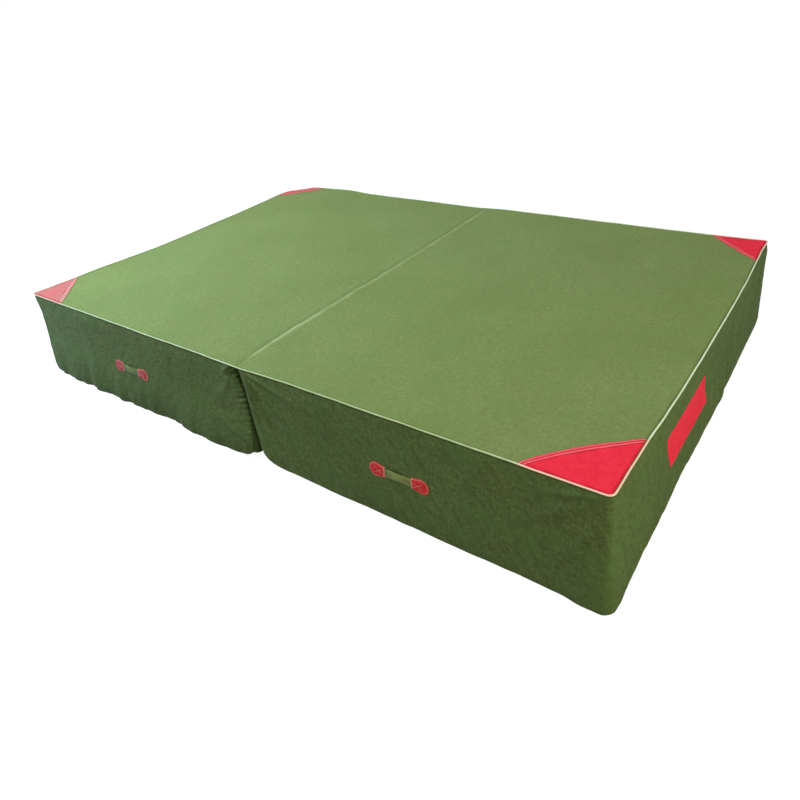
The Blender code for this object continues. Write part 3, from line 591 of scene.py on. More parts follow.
def cotton_canvas(name, pale, deep, shade, blotch, roughness):
    """Heavy cotton canvas: matt, in plain weave. The eye sees streaks along warp and weft where threads
    run thick and thin, a mottle where the dye took unevenly, and blotches of older dirt. One attribute
    darkens it, with painted shade in seams, folds, hollows and the gap, and towards the foot; the other
    pales it where it is worn and paints a highlight along the ridge of the felled seam.

    The real threads are 0.9 mm apart, too fine to show, so the weave is drawn at about three times that."""
    material, tree, shader = new_material(name)
    cut = add(tree, "ShaderNodeUVMap", uv_map="cut").outputs["UV"]
    streaks = []
    for stretch in ((1 / DRAWN_THREAD, 1 / SLUB, 1), (1 / SLUB, 1 / DRAWN_THREAD, 1)):
        drawn_out = add(tree, "ShaderNodeMapping", {"Vector": cut, "Scale": stretch})
        streaks.append(noise(tree, drawn_out.outputs[0], 1.0))
    weave = reckoned(tree, "ADD", *streaks)
    mottle = noise(tree, cut, 1 / 0.014, 3.0, 0.65)
    threads = reckoned(tree, "ADD", mottle, weave)
    grain = reckoned(tree, "MULTIPLY_ADD", weave, 0.45, mottle)
    smears = noise(tree, turned(tree, cut, 35, (0.024, 0.070, 1)), 1.0, 4.0, 0.60)
    tone = mixed(tree, ramp(tree, grain, 0.70, 1.20), deep, pale)
    tone = mixed(tree, ramp(tree, noise(tree, cut, 1 / 0.120, 3.0), 0.42, 0.75, 0.55), tone, shade)
    tone = mixed(tree, ramp(tree, smears, 0.45, 0.70, 0.55), tone, blotch)
    tone = mixed(tree, ramp(tree, noise(tree, cut, 1 / 0.40), 0.35, 0.70, 0.35), tone, deep)
    # Painted shade, and darker towards the foot, from the attribute.
    tone = mixed(tree, marked(tree, "grime_and_shade"), tone, "#2c3619")
    # Paler with wear, and a painted highlight along the felled seam's ridge, from the attribute.
    tone = mixed(tree, marked(tree, "wear_and_highlight"), tone, "#c3cb90")
    coat(tree, shader, tone, threads, 0.55, THREAD, roughness)
    shader.inputs["Specular IOR Level"].default_value = 0.08
    return material


def mark(piece, name, share):
    """Stores a value from 0 to 1 on each point of a piece, for its material."""
    attribute = piece.data.attributes.new(name, "FLOAT", "POINT")
    attribute.data.foreach_set("value", share.astype(np.float32).ravel())


# The walls' canvas is the top's cloth in darker colours, which stand in for part of the shade on the walls.
WALL_CANVAS = cotton_canvas("cotton_canvas_wall_darkened_for_shade", "#6c7843", "#434e27", "#4f6b37", "#484a28", 0.80)

# How much darker each block's walls grow towards the foot.
LOW_DARKENING = {"right": 0.10, "left": 0.32}
WALLS = {}
for side, sign in BLOCKS:
    points, flat = wall_grid(side, sign)
    WALLS[side] = (points, flat)
    grid = points.transpose(1, 0, 2)[::sign]
    marks = flat.transpose(1, 0, 2)[::sign]
    wall = thicken(surface(f"wall_cloth_{side}", grid, marks, WALL_CANVAS), CLOTH)
    height = marks[..., 1]
    # Darker towards the foot and most along it; each fold of the near side adds painted shade just below
    # itself.
    low_and_fold_darkening = LOW_DARKENING[side] * (1 - smooth((height - 0.02) / 0.22)) + 0.30 * bell(height, 0.012)
    for fold in FOLDS[side, "near"]:
        below = crease(grid[..., 0], grid[..., 2] + 0.011, fold)
        low_and_fold_darkening = low_and_fold_darkening + 20 * np.clip(below, 0, 0.012) * (grid[..., 1] < -SIDE_FROM)
    beside_gap = np.minimum(marks[..., 0], marks[..., 0].max() - marks[..., 0])
    # Painted shade in the left block's gap: beside the upright seam, and in the hollows between its
    # scallops.
    shade_by_seam = 0.35 * (1 - smooth((beside_gap - 0.75 * SEAM_IN[side]) / 0.016))
    scallops = seam_gather(side, np.abs(beside_gap - SEAM_IN[side]), height)
    gap_shade = (shade_by_seam + 0.62 * smooth(-2.6 * scallops / PUCKER["left"])) * (side == "left")
    # Painted shade in the tuck under the piped seam.
    shade_under_piping = 0.45 * smooth((height - WALL_TOP + 0.010) / 0.008)
    mark(wall, "grime_and_shade", np.clip(shade_under_piping + low_and_fold_darkening + gap_shade, 0, 1))
    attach(wall, f"{side}_block")
    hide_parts(f"wall_strip_{side}")


# Base panels
# The underside of the cover, a darker and closer canvas than the rest, proofed on its outer face.
# It lies flat on the floor, and its rim is folded under and sewn to the foot of the wall.

BASE_RIM = 0.0022
BASE_CANVAS = cotton_canvas("proofed_canvas_base", "#3f4a2e", "#2e3722", "#37422a", "#343a26", 0.60)


def rounded_plan(u, v, left, right, half, radius_left, radius_right):
    """A rectangle with round corners from two parameters, each -1 to 1. A point in a corner's square is
    pulled in on the line to the corner circle's middle until the square's edge lies on the circle."""
    x = left + (u + 1) / 2 * (right - left)
    y = v * half
    radius = np.where(u < 0, radius_left, radius_right)
    across = np.where(u < 0, left + radius - x, x - right + radius)
    beyond = np.abs(y) - half + radius
    inside = (across > 0) & (beyond > 0)
    far = np.maximum(np.hypot(across, beyond), 1e-9)
    pull = np.where(inside, np.maximum(across, beyond) / far, 1.0)
    x = np.where(inside, x + np.where(u < 0, 1, -1) * across * (1 - pull), x)
    y = np.where(inside, y - np.sign(y) * beyond * (1 - pull), y)
    return x, y


for side, sign in BLOCKS:
    edge = np.array([0, 0.004, 0.009, 0.016, 0.026, 0.04])
    u_half = np.concatenate([-1 + edge, np.linspace(-1 + 0.06, 0, 28)])
    u = np.concatenate([u_half, -u_half[-2::-1]])
    v_half = np.concatenate([-1 + edge * 0.7, np.linspace(-1 + 0.045, 0, 40)])
    v = np.concatenate([v_half, -v_half[-2::-1]])
    u, v = np.meshgrid(u, v, indexing="ij")
    x, y = rounded_plan(u, v, GAP_AT_FLOOR + BASE_RIM, WALL_X - BASE_RIM, WALL_Y - BASE_RIM,
                        INNER_ROUND[side], OUTER_ROUND)
    points = np.stack([x * sign, y, 0 * x], -1)
    marks = np.stack([x, y], -1)
    base = thicken(surface(f"base_cloth_{side}", points[::-sign], marks[::-sign], BASE_CANVAS), CLOTH)
    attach(base, f"{side}_block")
    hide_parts(f"base_panel_{side}")


# Inner walls and zips
# The wall inside the fold is closed with a long coil zip, so that the foam can be taken out for washing.
# Its tapes are sewn flush into a slot in the canvas, with a row of thread along each outer edge.

SLANT = np.arctan2(GAP_AT_FLOOR - GAP_AT_TOP, WALL_TOP)
ZIP_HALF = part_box("zip_tape_upper_right")[1].y
SLOT_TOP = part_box("zip_tape_upper_right")[1].z
SLOT_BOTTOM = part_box("zip_tape_lower_right")[0].z
COIL_BOXES = {row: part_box(f"zip_coil_{row}_right") for row in ("upper", "lower")}
COIL_HALF = COIL_BOXES["upper"][1].y
ZIP_Z = (COIL_BOXES["upper"][0].z + COIL_BOXES["lower"][1].z) / 2
# The coil: its wire's radius, the pitch of its turns and the steps in each, half its thickness, and how
# deep its middle lies.
COIL_WIRE = 0.00038
COIL_PITCH = 0.0027
TURN_STEPS = 8
COIL_HALF_THICK = 0.0015
COIL_DEEP = 0.00075
INNER_WALL_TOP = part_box("inner_wall_right")[1].z


def on_inner_wall(sign, along, up, out):
    """Places on the slanting inner wall: along it, up it from the zip's middle line, and out from it."""
    x = gap(ZIP_Z) - up * sin(SLANT) - out * cos(SLANT)
    z = ZIP_Z + up * cos(SLANT) - out * sin(SLANT)
    return np.stack(np.broadcast_arrays(x * sign, along * sign, z), -1)


def inner_wall_grid(side, sign):
    """Points of an inner wall, rows along it and columns up it, with edges on the zip's slot. The cloth
    gathers at both upright seams as the strip does on their other side, and is calm beside the zip."""
    reach = WALL_Y - INNER_ROUND[side]
    fine_reach = 0.1
    ends = np.concatenate([np.arange(0, fine_reach, 0.007), np.linspace(fine_reach, reach - ZIP_HALF, 4)])
    middle = np.linspace(-ZIP_HALF, ZIP_HALF, 110)
    y0 = np.concatenate([-reach + ends[:-1], middle, reach - ends[:-1][::-1]])
    z0 = np.concatenate([LOW_ROWS, np.linspace(ROWS_FROM, SLOT_BOTTOM, 40),
                         np.linspace(SLOT_TOP, INNER_WALL_TOP, 44)])
    y0, z0 = np.meshgrid(y0, z0, indexing="ij")
    away = reach - np.abs(y0)
    swell = 0.0035 * drift(y0, z0, 0.30, 21) + 0.0016 * drift(y0, z0 * 0.4, 0.07, 22)
    beside_zip = smooth((np.hypot(np.maximum(np.abs(y0) - ZIP_HALF, 0), z0 - ZIP_Z) - 0.025) / 0.06)
    body = smooth(z0 / 0.05) * smooth((INNER_WALL_TOP - z0) / 0.05) * smooth(away / 0.05)
    out = swell * beside_zip * body
    out = out + gathered(side, away + SEAM_IN[side], z0, y0 * sign <= 0)
    up = (z0 - ZIP_Z) / cos(SLANT)
    points = on_inner_wall(sign, -y0 * sign, up, out)
    points[..., 2] += OFF_FLOOR
    shown = ~((np.abs(y0[:-1, :-1] + y0[1:, 1:]) < 2 * ZIP_HALF)
              & (z0[:-1, :-1] > SLOT_BOTTOM - 0.001) & (z0[1:, 1:] < SLOT_TOP + 0.001))
    return points, np.stack([y0, z0], -1), shown


def stitch_places(line, pitch):
    """Middles and directions of the stitches that follow a line of points, one every pitch."""
    lengths = lengths_along(line)
    count = int(lengths[-1] / pitch)
    at = (np.arange(count) + 0.5) * lengths[-1] / count
    centres, ahead, behind = [np.stack([np.interp(at + step, lengths, line[:, k]) for k in range(3)], -1)
                              for step in (0, pitch / 4, -pitch / 4)]
    return centres, unit(ahead - behind)


def stitches(name, lines, outward, pitch, length, radius, material):
    """Rows of stitches along lines of points. Each stitch is a short thread that rises from the cloth and
    dips back in: rings round a line that follows an arch, narrow at both ends. All are one array."""
    places = [stitch_places(line, pitch) for line in lines]
    centres, along = [np.concatenate(part) for part in zip(*places)]
    outward = np.broadcast_to(np.array(outward, float), centres.shape)
    side_way = np.cross(outward, along)
    share = np.array([-1.0, -0.7, 0.0, 0.7, 1.0])
    angle = np.arange(6) * 2 * pi / 6
    thick = radius * np.array([0.45, 0.9, 1.0, 0.9, 0.45])
    rise = radius * (1.0 - 1.6 * share**2)
    ring = (centres[:, None, None]
            + along[:, None, None] * (share * length / 2)[None, :, None, None]
            + outward[:, None, None] * (rise[:, None] + thick[:, None] * np.sin(angle))[None, ..., None]
            + side_way[:, None, None] * (thick[:, None] * np.cos(angle))[None, ..., None])
    number = np.arange(ring[..., 0].size).reshape(ring.shape[:3])
    after = np.roll(number, -1, axis=2)
    quads = np.stack([number[:, :-1], after[:, :-1], after[:, 1:], number[:, 1:]], -1).reshape(-1, 4)
    caps = number[:, 0, ::-1].tolist() + number[:, -1].tolist()
    mesh = bpy.data.meshes.new(name)
    mesh.from_pydata(settled(ring.reshape(-1, 3)), [], quads.tolist() + caps)
    mesh.shade_smooth()
    mesh.materials.append(material)
    return placed(name, mesh)


def polyester_thread(name, colour):
    """Bonded polyester sewing thread: two plies twisted, which catch the light as fine slanting lines."""
    material, tree, shader = new_material(name)
    plies = noise(tree, add(tree, "ShaderNodeTexCoord").outputs["Object"], 1 / 0.0012)
    tree.links.new(mixed(tree, plies, "#8c8468", colour), shader.inputs["Base Color"])
    shader.inputs["Roughness"].default_value = 0.45
    return material


def coil_row(name, sign, row):
    """One coil of the zip: a nylon wire wound as a helix, flattened to the tooth's width and thickness.
    Rows of the grid follow the wire and columns go round it."""
    box = COIL_BOXES[row]
    up_low = (box[0].z - ZIP_Z) / cos(SLANT)
    up_high = (box[1].z - ZIP_Z) / cos(SLANT)
    middle = (abs(up_low) + abs(up_high)) / 2 * (1 if row == "upper" else -1)
    half_width = abs(up_high - up_low) / 2 - COIL_WIRE - 0.0002
    half_thick = COIL_HALF_THICK - COIL_WIRE
    turns = int(2 * COIL_HALF / COIL_PITCH)
    t = np.arange(turns * TURN_STEPS + 1) / TURN_STEPS
    along = -COIL_HALF + COIL_WIRE + t / turns * 2 * (COIL_HALF - COIL_WIRE)
    wind = 2 * pi * t
    up = middle + half_width * np.cos(wind)
    out = -COIL_DEEP + half_thick * np.sin(wind)
    line = np.stack([along, up, out], -1)
    ahead = unit(np.gradient(line, axis=0))
    radial = np.stack([0 * wind, np.cos(wind), np.sin(wind)], -1)
    radial = unit(radial - ahead * np.sum(radial * ahead, 1, keepdims=True))
    beside = np.cross(ahead, radial)
    angle = (np.arange(4) + 0.5) * pi / 2
    ring = (line[:, None] + COIL_WIRE * (radial[:, None] * np.cos(angle)[None, :, None]
                                         + beside[:, None] * np.sin(angle)[None, :, None]))
    points = on_inner_wall(sign, ring[..., 0], ring[..., 1], ring[..., 2])
    flat = np.stack(np.broadcast_arrays(along[:, None], np.arange(5)[None, :] * COIL_WIRE), -1)
    return surface(name, points, flat, NYLON_COIL, close_columns=True)


def zip_material(name, pale, dark, spacing, roughness, metallic):
    """A zip's nylon or zinc: nylon looks waxy, and cast zinc dull grey with brighter rubbed spots."""
    material, tree, shader = new_material(name)
    speck = noise(tree, add(tree, "ShaderNodeTexCoord").outputs["Object"], 1 / spacing, 3.0)
    coat(tree, shader, mixed(tree, speck, dark, pale), speck, 0.4, spacing / 8, roughness)
    shader.inputs["Metallic"].default_value = metallic
    return material


THREAD_PALE = polyester_thread("bonded_thread_pale", "#e9dfc6")
THREAD_GREEN = polyester_thread("bonded_thread_green", "#8a9a63")
NYLON_COIL = zip_material("nylon_coil", "#4c5140", "#2a2e22", 0.0020, 0.40, 0.0)
POLYESTER_TAPE = zip_material("woven_polyester_tape", "#3a402f", "#23281c", 0.0016, 0.75, 0.0)
CAST_ZINC = zip_material("cast_zinc", "#b9b8b2", "#8b8a85", 0.0030, 0.38, 1.0)

for side, sign in BLOCKS:
    points, flat, shown = inner_wall_grid(side, sign)
    inner = surface(f"inner_cloth_{side}", points[::-1], flat[::-1], WALL_CANVAS, shown=shown[::-1])
    thicken(inner, CLOTH)
    # Painted shade: the inner walls, which face into the gap, are darkened all over.
    mark(inner, "grime_and_shade", np.full(len(inner.data.vertices), 0.30))
    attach(inner, f"{side}_block")
    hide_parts(f"inner_wall_{side}")
    out = np.array([-cos(SLANT) * sign, 0.0, -sin(SLANT)])
    for row, edge, away in (("upper", SLOT_TOP, 0.004), ("lower", SLOT_BOTTOM, -0.004)):
        coil = coil_row(f"zip_helix_{row}_{side}", sign, row)
        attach(coil, f"{side}_block")
        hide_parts(f"zip_coil_{row}_{side}")
        run = np.linspace(-ZIP_HALF, ZIP_HALF, 200)
        line = on_inner_wall(sign, run, (edge - ZIP_Z) / cos(SLANT) + away, 0.0002)
        sewn = stitches(f"zip_stitches_{row}_{side}", [line], out,
                        pitch=0.006, length=0.0042, radius=0.0004, material=THREAD_GREEN)
        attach(sewn, f"{side}_block")
        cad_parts[f"zip_tape_{row}_{side}"].material_slots[0].material = POLYESTER_TAPE
    for node in ("zip_stop_closed_end", "zip_stop_open_end", "zip_slider", "zip_pull"):
        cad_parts[f"{node}_{side}"].material_slots[0].material = CAST_ZINC


# Top panels
# The landing surface: green canvas in one piece over both blocks, in lighter colours than the walls' copy
# of it, sewn into the piped seam all round. Just right of the fold a felled seam runs across the mat and
# stands up as a low ridge, paled by wear and a painted highlight.

PIPING_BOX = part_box("piping_right")
PIPING_RADIUS = 0.0030
PIPING_Z = PIPING_BOX[1].z - PIPING_RADIUS - 0.0006
PIPING_X = PIPING_BOX[1].x - PIPING_RADIUS - 0.0004
PIPING_Y = PIPING_BOX[1].y - PIPING_RADIUS - 0.0004
TOP_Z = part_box("top_panel_right")[1].z
# Where the felled seam lies beside the fold: places across the mat, and millimetres to the right.
SEAM_LINE = ((-1.0, -0.90, -0.82, -0.74, -0.66, -0.58, -0.50, -0.42, -0.34, -0.26, -0.18, -0.10, -0.02,
              0.06, 0.14, 0.22, 0.50, 0.70, 0.86, 1.0),
             (12, 10, 12, 13, 10, 17, 17, 18, 22, 19, 27, 31, 28, 33, 29, 33, 32, 32, 26, 24))
RIDGE_WIDTH = 0.024
RIDGE_HEIGHT = 0.0026


def from_ridge(x, y):
    """Distance across the felled seam from its middle, which wanders beside the fold."""
    return x - np.interp(y, *SEAM_LINE) / 1000 - 0.0012 * drift(y, 0.0, 0.07, 35)


def top_height(x, y):
    """Height of the landing surface before it settles: level, with a roll down to the piped seam,
    shallow hollows where feet have pressed the foam, and the ridge of the seam beside the fold."""
    to_seam = np.minimum(PIPING_X - np.abs(x), PIPING_Y - np.abs(y))
    roll = 0.0034 * (1 - smooth((to_seam - 0.002) / 0.011))
    hollows = 0.0016 * (1 + drift(x, y, 0.31, 31)) * smooth(to_seam / 0.12)
    ripple = 0.0005 * (1 + drift(x + 0.4 * y, y, 0.045, 33)) * smooth(to_seam / 0.05)
    beside = from_ridge(x, y)
    on_fold = smooth((y + WALL_Y) / 0.10) * smooth((WALL_Y - y) / 0.06)
    ridge = RIDGE_HEIGHT * np.clip(1 - (beside / (RIDGE_WIDTH / 2)) ** 2, 0, 1) * on_fold
    dip = 0.0013 * bell(beside + 0.022, 0.007) * on_fold
    return TOP_Z - roll - (hollows + ripple) * smooth(np.abs(x) / 0.06) + ridge - dip


# The top's grid is closer at the piped seam, and closest across the felled seam, whose line it follows.
seam_steps = np.array([0.0, 0.0018, 0.0040, 0.0070, 0.0110, 0.0160, 0.0240])
x_half = np.concatenate([PIPING_X - seam_steps, np.linspace(PIPING_X - 0.036, 0.078, 99)])
x_fold = np.concatenate([np.linspace(-0.064, -0.016, 5), np.linspace(-0.012, 0.005, 8),
                         np.linspace(0.0075, 0.0425, 17), np.linspace(0.048, 0.066, 3)])
x_line = np.concatenate([-x_half, x_fold, x_half[::-1]])
y_half = np.concatenate([PIPING_Y - seam_steps, np.linspace(PIPING_Y - 0.036, 0.0, 68)])
y_line = np.concatenate([-y_half, y_half[-2::-1]])
u, v = np.meshgrid(x_line / PIPING_X, y_line / PIPING_Y, indexing="ij")
x, y = rounded_plan(u, v, -PIPING_X, PIPING_X, PIPING_Y, OUTER_ROUND, OUTER_ROUND)
x = x + (np.interp(y, *SEAM_LINE) / 1000 - 0.025) * smooth(x / 0.012) * smooth((0.074 - x) / 0.030)
points = np.stack([x, y, top_height(x, y)], -1)
TOP_CANVAS = cotton_canvas("cotton_canvas_top", "#8e985b", "#707c42", "#728b4b", "#7f824d", 0.80)
top = thicken(surface("top_cloth", points, np.stack([x, y], -1), TOP_CANVAS), CLOTH)
to_seam = np.minimum(PIPING_X - np.abs(x), PIPING_Y - np.abs(y))
ridge_x = from_ridge(x, y)
# Painted shade in the seam valley beside the piping, uneven along it.
shade_in_seam = (0.35 + 0.25 * drift(x, y, 0.12, 36)) * (1 - smooth((to_seam - 0.003) / 0.009))
# Painted shade in the hollow beside the felled seam's ridge.
shade_beside_ridge = 0.12 * bell(ridge_x + 0.0230, 0.0070) * (1 + 0.5 * drift(y, 2.0, 0.06, 38))
mark(top, "grime_and_shade", shade_in_seam + shade_beside_ridge)
# A painted highlight along the ridge, strongest some way in from the near edge and fading at both ends; the
# paleness also stands for wear.
ridge_highlight = 0.21 + 0.34 * bell(y + 0.68, 0.17) + 0.10 * bell(y - 0.84, 0.08)
ridge_highlight = ridge_highlight - 0.30 * bell(np.abs(y) - 1.0, 0.09) + 0.10 * drift(y, 0.0, 0.03, 37)
mark(top, "wear_and_highlight", np.clip(bell(ridge_x, 0.0105) * ridge_highlight, 0, 1))
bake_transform(top)
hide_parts("top_panel_right", "top_panel_left")


# Piping and fold tape
# The seam round the top is piped: a cotton cord in a bias-cut strip of pale vinyl, sewn between top and
# wall. A cotton tape under the fold takes the strain when the mat is folded.

PIPING_SIDES = 12
PIPING_STEP = 0.010
SIDES = (("near", -1), ("far", 1))


def loop_round(x_reach, y_reach, radius, step):
    """A rounded rectangle as a closed line of evenly spaced points, counter-clockwise."""
    x, y = x_reach - radius, y_reach - radius
    middles = ((x, -y, 1.5 * pi), (x, y, 0.0), (-x, y, 0.5 * pi), (-x, -y, pi))
    corners = [quarter(*middle, radius, start, 20) for *middle, start in middles]
    line = np.concatenate(corners + [corners[0][:1]])
    lengths = lengths_along(line)
    count = int(lengths[-1] / step)
    at = np.arange(count) * lengths[-1] / count
    return np.stack([np.interp(at, lengths, line[:, 0]), np.interp(at, lengths, line[:, 1])], -1), at


line, walk = loop_round(PIPING_X, PIPING_Y, OUTER_ROUND, PIPING_STEP)
ahead = unit(np.roll(line, -1, axis=0) - np.roll(line, 1, axis=0))
outward = np.stack([ahead[:, 1], -ahead[:, 0]], -1)
wander = 0.0008 * drift(walk, 0.0, 0.07, 41) * smooth(np.abs(line[:, 0]) / 0.05)
drop = 0.0008 * (1 + drift(walk, 3.0, 0.09, 43)) * smooth(np.abs(line[:, 0]) / 0.05)
middle = np.concatenate([line + outward * wander[:, None], (PIPING_Z - drop)[:, None]], -1)
angle = np.arange(PIPING_SIDES) * 2 * pi / PIPING_SIDES
twist = 0.04 * drift(walk[:, None] + 0.004 * np.cos(angle), np.sin(angle) * 0.004, 0.013, 45)
radius = (PIPING_RADIUS - 0.00015) * (1 - np.abs(twist))
across = np.concatenate([outward, np.zeros((len(line), 1))], -1)
points = (middle[:, None] + across[:, None] * (radius * np.cos(angle))[..., None]
          + np.array([0, 0, 1.0]) * (radius * np.sin(angle))[..., None])
flat = np.stack(np.meshgrid(np.append(walk, walk[-1] + PIPING_STEP),
                            np.arange(PIPING_SIDES + 1) * 2 * pi * PIPING_RADIUS / PIPING_SIDES,
                            indexing="ij"), -1)


def piping_vinyl(name):
    """Vinyl piping over a cord: pale, faintly glossy, with the cord's strands showing through as ribs
    and dirt in the folds. One attribute paints green shade and reflected green light on it, most along the
    near side; reddened says where it has taken up dye from a red patch, and browned where it is soiled as
    well."""
    material, tree, shader = new_material(name)
    cut = add(tree, "ShaderNodeUVMap", uv_map="cut").outputs["UV"]
    ribs = noise(tree, turned(tree, cut, 35, (0.004, 0.020, 1)), 1.0)
    tone = mixed(tree, ramp(tree, noise(tree, cut, 1 / 0.05, 3.0), 0.45, 0.75, 0.5), "#f1f3cf", "#cdd3a4")
    for attribute, colour in (("reddened", "#ffc4ae"), ("browned", "#ad7e30"), ("shaded_green", "#a4b06c")):
        tone = mixed(tree, marked(tree, attribute), tone, colour)
    coat(tree, shader, tone, ribs, 0.4, 0.0008, 0.42)
    return material


piping = surface("piping_cord", points, flat, piping_vinyl("vinyl_piping"), close_rows=True,
                 close_columns=True)
# How much painted green shade and reflected green light the near side's piping takes, from 0 to 1, at
# places from left to right.
GREEN_SHADING = ((-1.5, -1.2, -0.2, 0.0, 0.15, 0.30, 0.50, 0.80, 1.10, 1.25, 1.5),
         (0.85, 0.88, 0.84, 0.86, 1.0, 1.0, 0.95, 0.90, 0.84, 0.50, 0.25))
green_shading = np.interp(line[:, 0], *GREEN_SHADING) * smooth((-0.9 - line[:, 1]) / 0.08)
# The other sides take less of the painted green, more towards the left.
green_shading = green_shading + (0.20 + 0.40 * smooth(-line[:, 0] / 0.5)) * smooth((line[:, 1] + 0.98) / 0.08)
red_near = np.zeros_like(walk)
for end, y_sign in SIDES:
    for side, x_sign in BLOCKS:
        low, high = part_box(f"corner_patch_{end}_{side}")
        away = np.hypot(line[:, 0] - x_sign * WALL_X, line[:, 1] - y_sign * WALL_Y)
        red_near = np.maximum(red_near, smooth((high.x - low.x + 0.02 - away) / 0.03))
mark(piping, "reddened", np.repeat(0.82 * red_near, PIPING_SIDES))
mark(piping, "browned", np.repeat(0.56 * red_near * (line[:, 0] < 0), PIPING_SIDES))
green_shading = green_shading * (1 - red_near) + 0.14 * drift(walk, 1.0, 0.03, 49)
mark(piping, "shaded_green", np.repeat(np.clip(green_shading, 0, 1), PIPING_SIDES))
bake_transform(piping)
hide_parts("piping_right", "piping_left")

low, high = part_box("fold_tape")
x, y = np.meshgrid(np.linspace(low.x, high.x, 17), np.linspace(low.y, high.y, 160), indexing="ij")
z = np.full_like(x, high.z - CLOTH) - 0.0004 * drift(x, y, 0.02, 47)
tape = surface("fold_binding", np.stack([x, y, z], -1), np.stack([x, y], -1), BASE_CANVAS)
thicken(tape, high.z - low.z)
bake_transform(tape)
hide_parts("fold_tape")


# Corner patches
# Three-sided pieces of red nylon cloth over the four top corners, which take the wear when a block is
# dragged. The long edge is turned under and sewn down twice, and the short edges go into the piped seam.

HEM_WIDTH = 0.019
PATCH_CLOTH = 0.0011
PATCH_LIFT = 0.0004
CORNER_ROUND = 0.0147
PATCH_ROWS = 49
HEM_SEAMS = (0.0035, HEM_WIDTH - 0.003)
# Each corner's side of the mat, block, directions, bow of the long edge, and the painted sheen that washes
# out its red.
CORNERS = (("near", "right", 1, -1, 0.020, 0.05), ("far", "right", 1, 1, 0.008, 0.05),
           ("near", "left", -1, -1, 0.004, 0.86), ("far", "left", -1, 1, 0.012, 0.60))


def nylon_cloth(name, bright, deep, pale):
    """Coated nylon cloth: saturated and only faintly glossy, with a fine grain of threads and crumples.
    One attribute paints a washed-out sheen where reflected light whitens it, hem pales it where it is
    doubled and paints highlights on the lit edges of its folds, and a third darkens it with soil and with
    painted shade in its folds."""
    material, tree, shader = new_material(name)
    cut = add(tree, "ShaderNodeUVMap", uv_map="cut").outputs["UV"]
    threads = add(tree, "ShaderNodeMapping", {"Vector": cut, "Scale": (1 / 0.002, 1 / 0.02, 1)}).outputs[0]
    both = reckoned(tree, "ADD", noise(tree, cut, 1 / 0.035, 4.0), noise(tree, threads, 1.0))
    sheen = marked(tree, "painted_sheen")
    # Painted sheen: mixed towards a washed-out pink where reflected light whitens the cloth.
    tone = mixed(tree, sheen, mixed(tree, ramp(tree, both, 0.75, 1.25), deep, bright), "#bb7369")
    # Paler where the hem is doubled, with painted highlights on the lit edges of its folds.
    tone = mixed(tree, marked(tree, "hem"), tone, mixed(tree, sheen, pale, "#e9c0a2"))
    # Darker with soil, and with painted shade in the folds.
    tone = mixed(tree, marked(tree, "grime_and_shade"), tone, "#8e1424")
    coat(tree, shader, tone, both, 0.5, 0.0020, 0.65)
    shader.inputs["Specular IOR Level"].default_value = 0.04
    return material


RED_NYLON = nylon_cloth("coated_nylon_red", "#ff3147", "#f0233a", "#ff8d96")

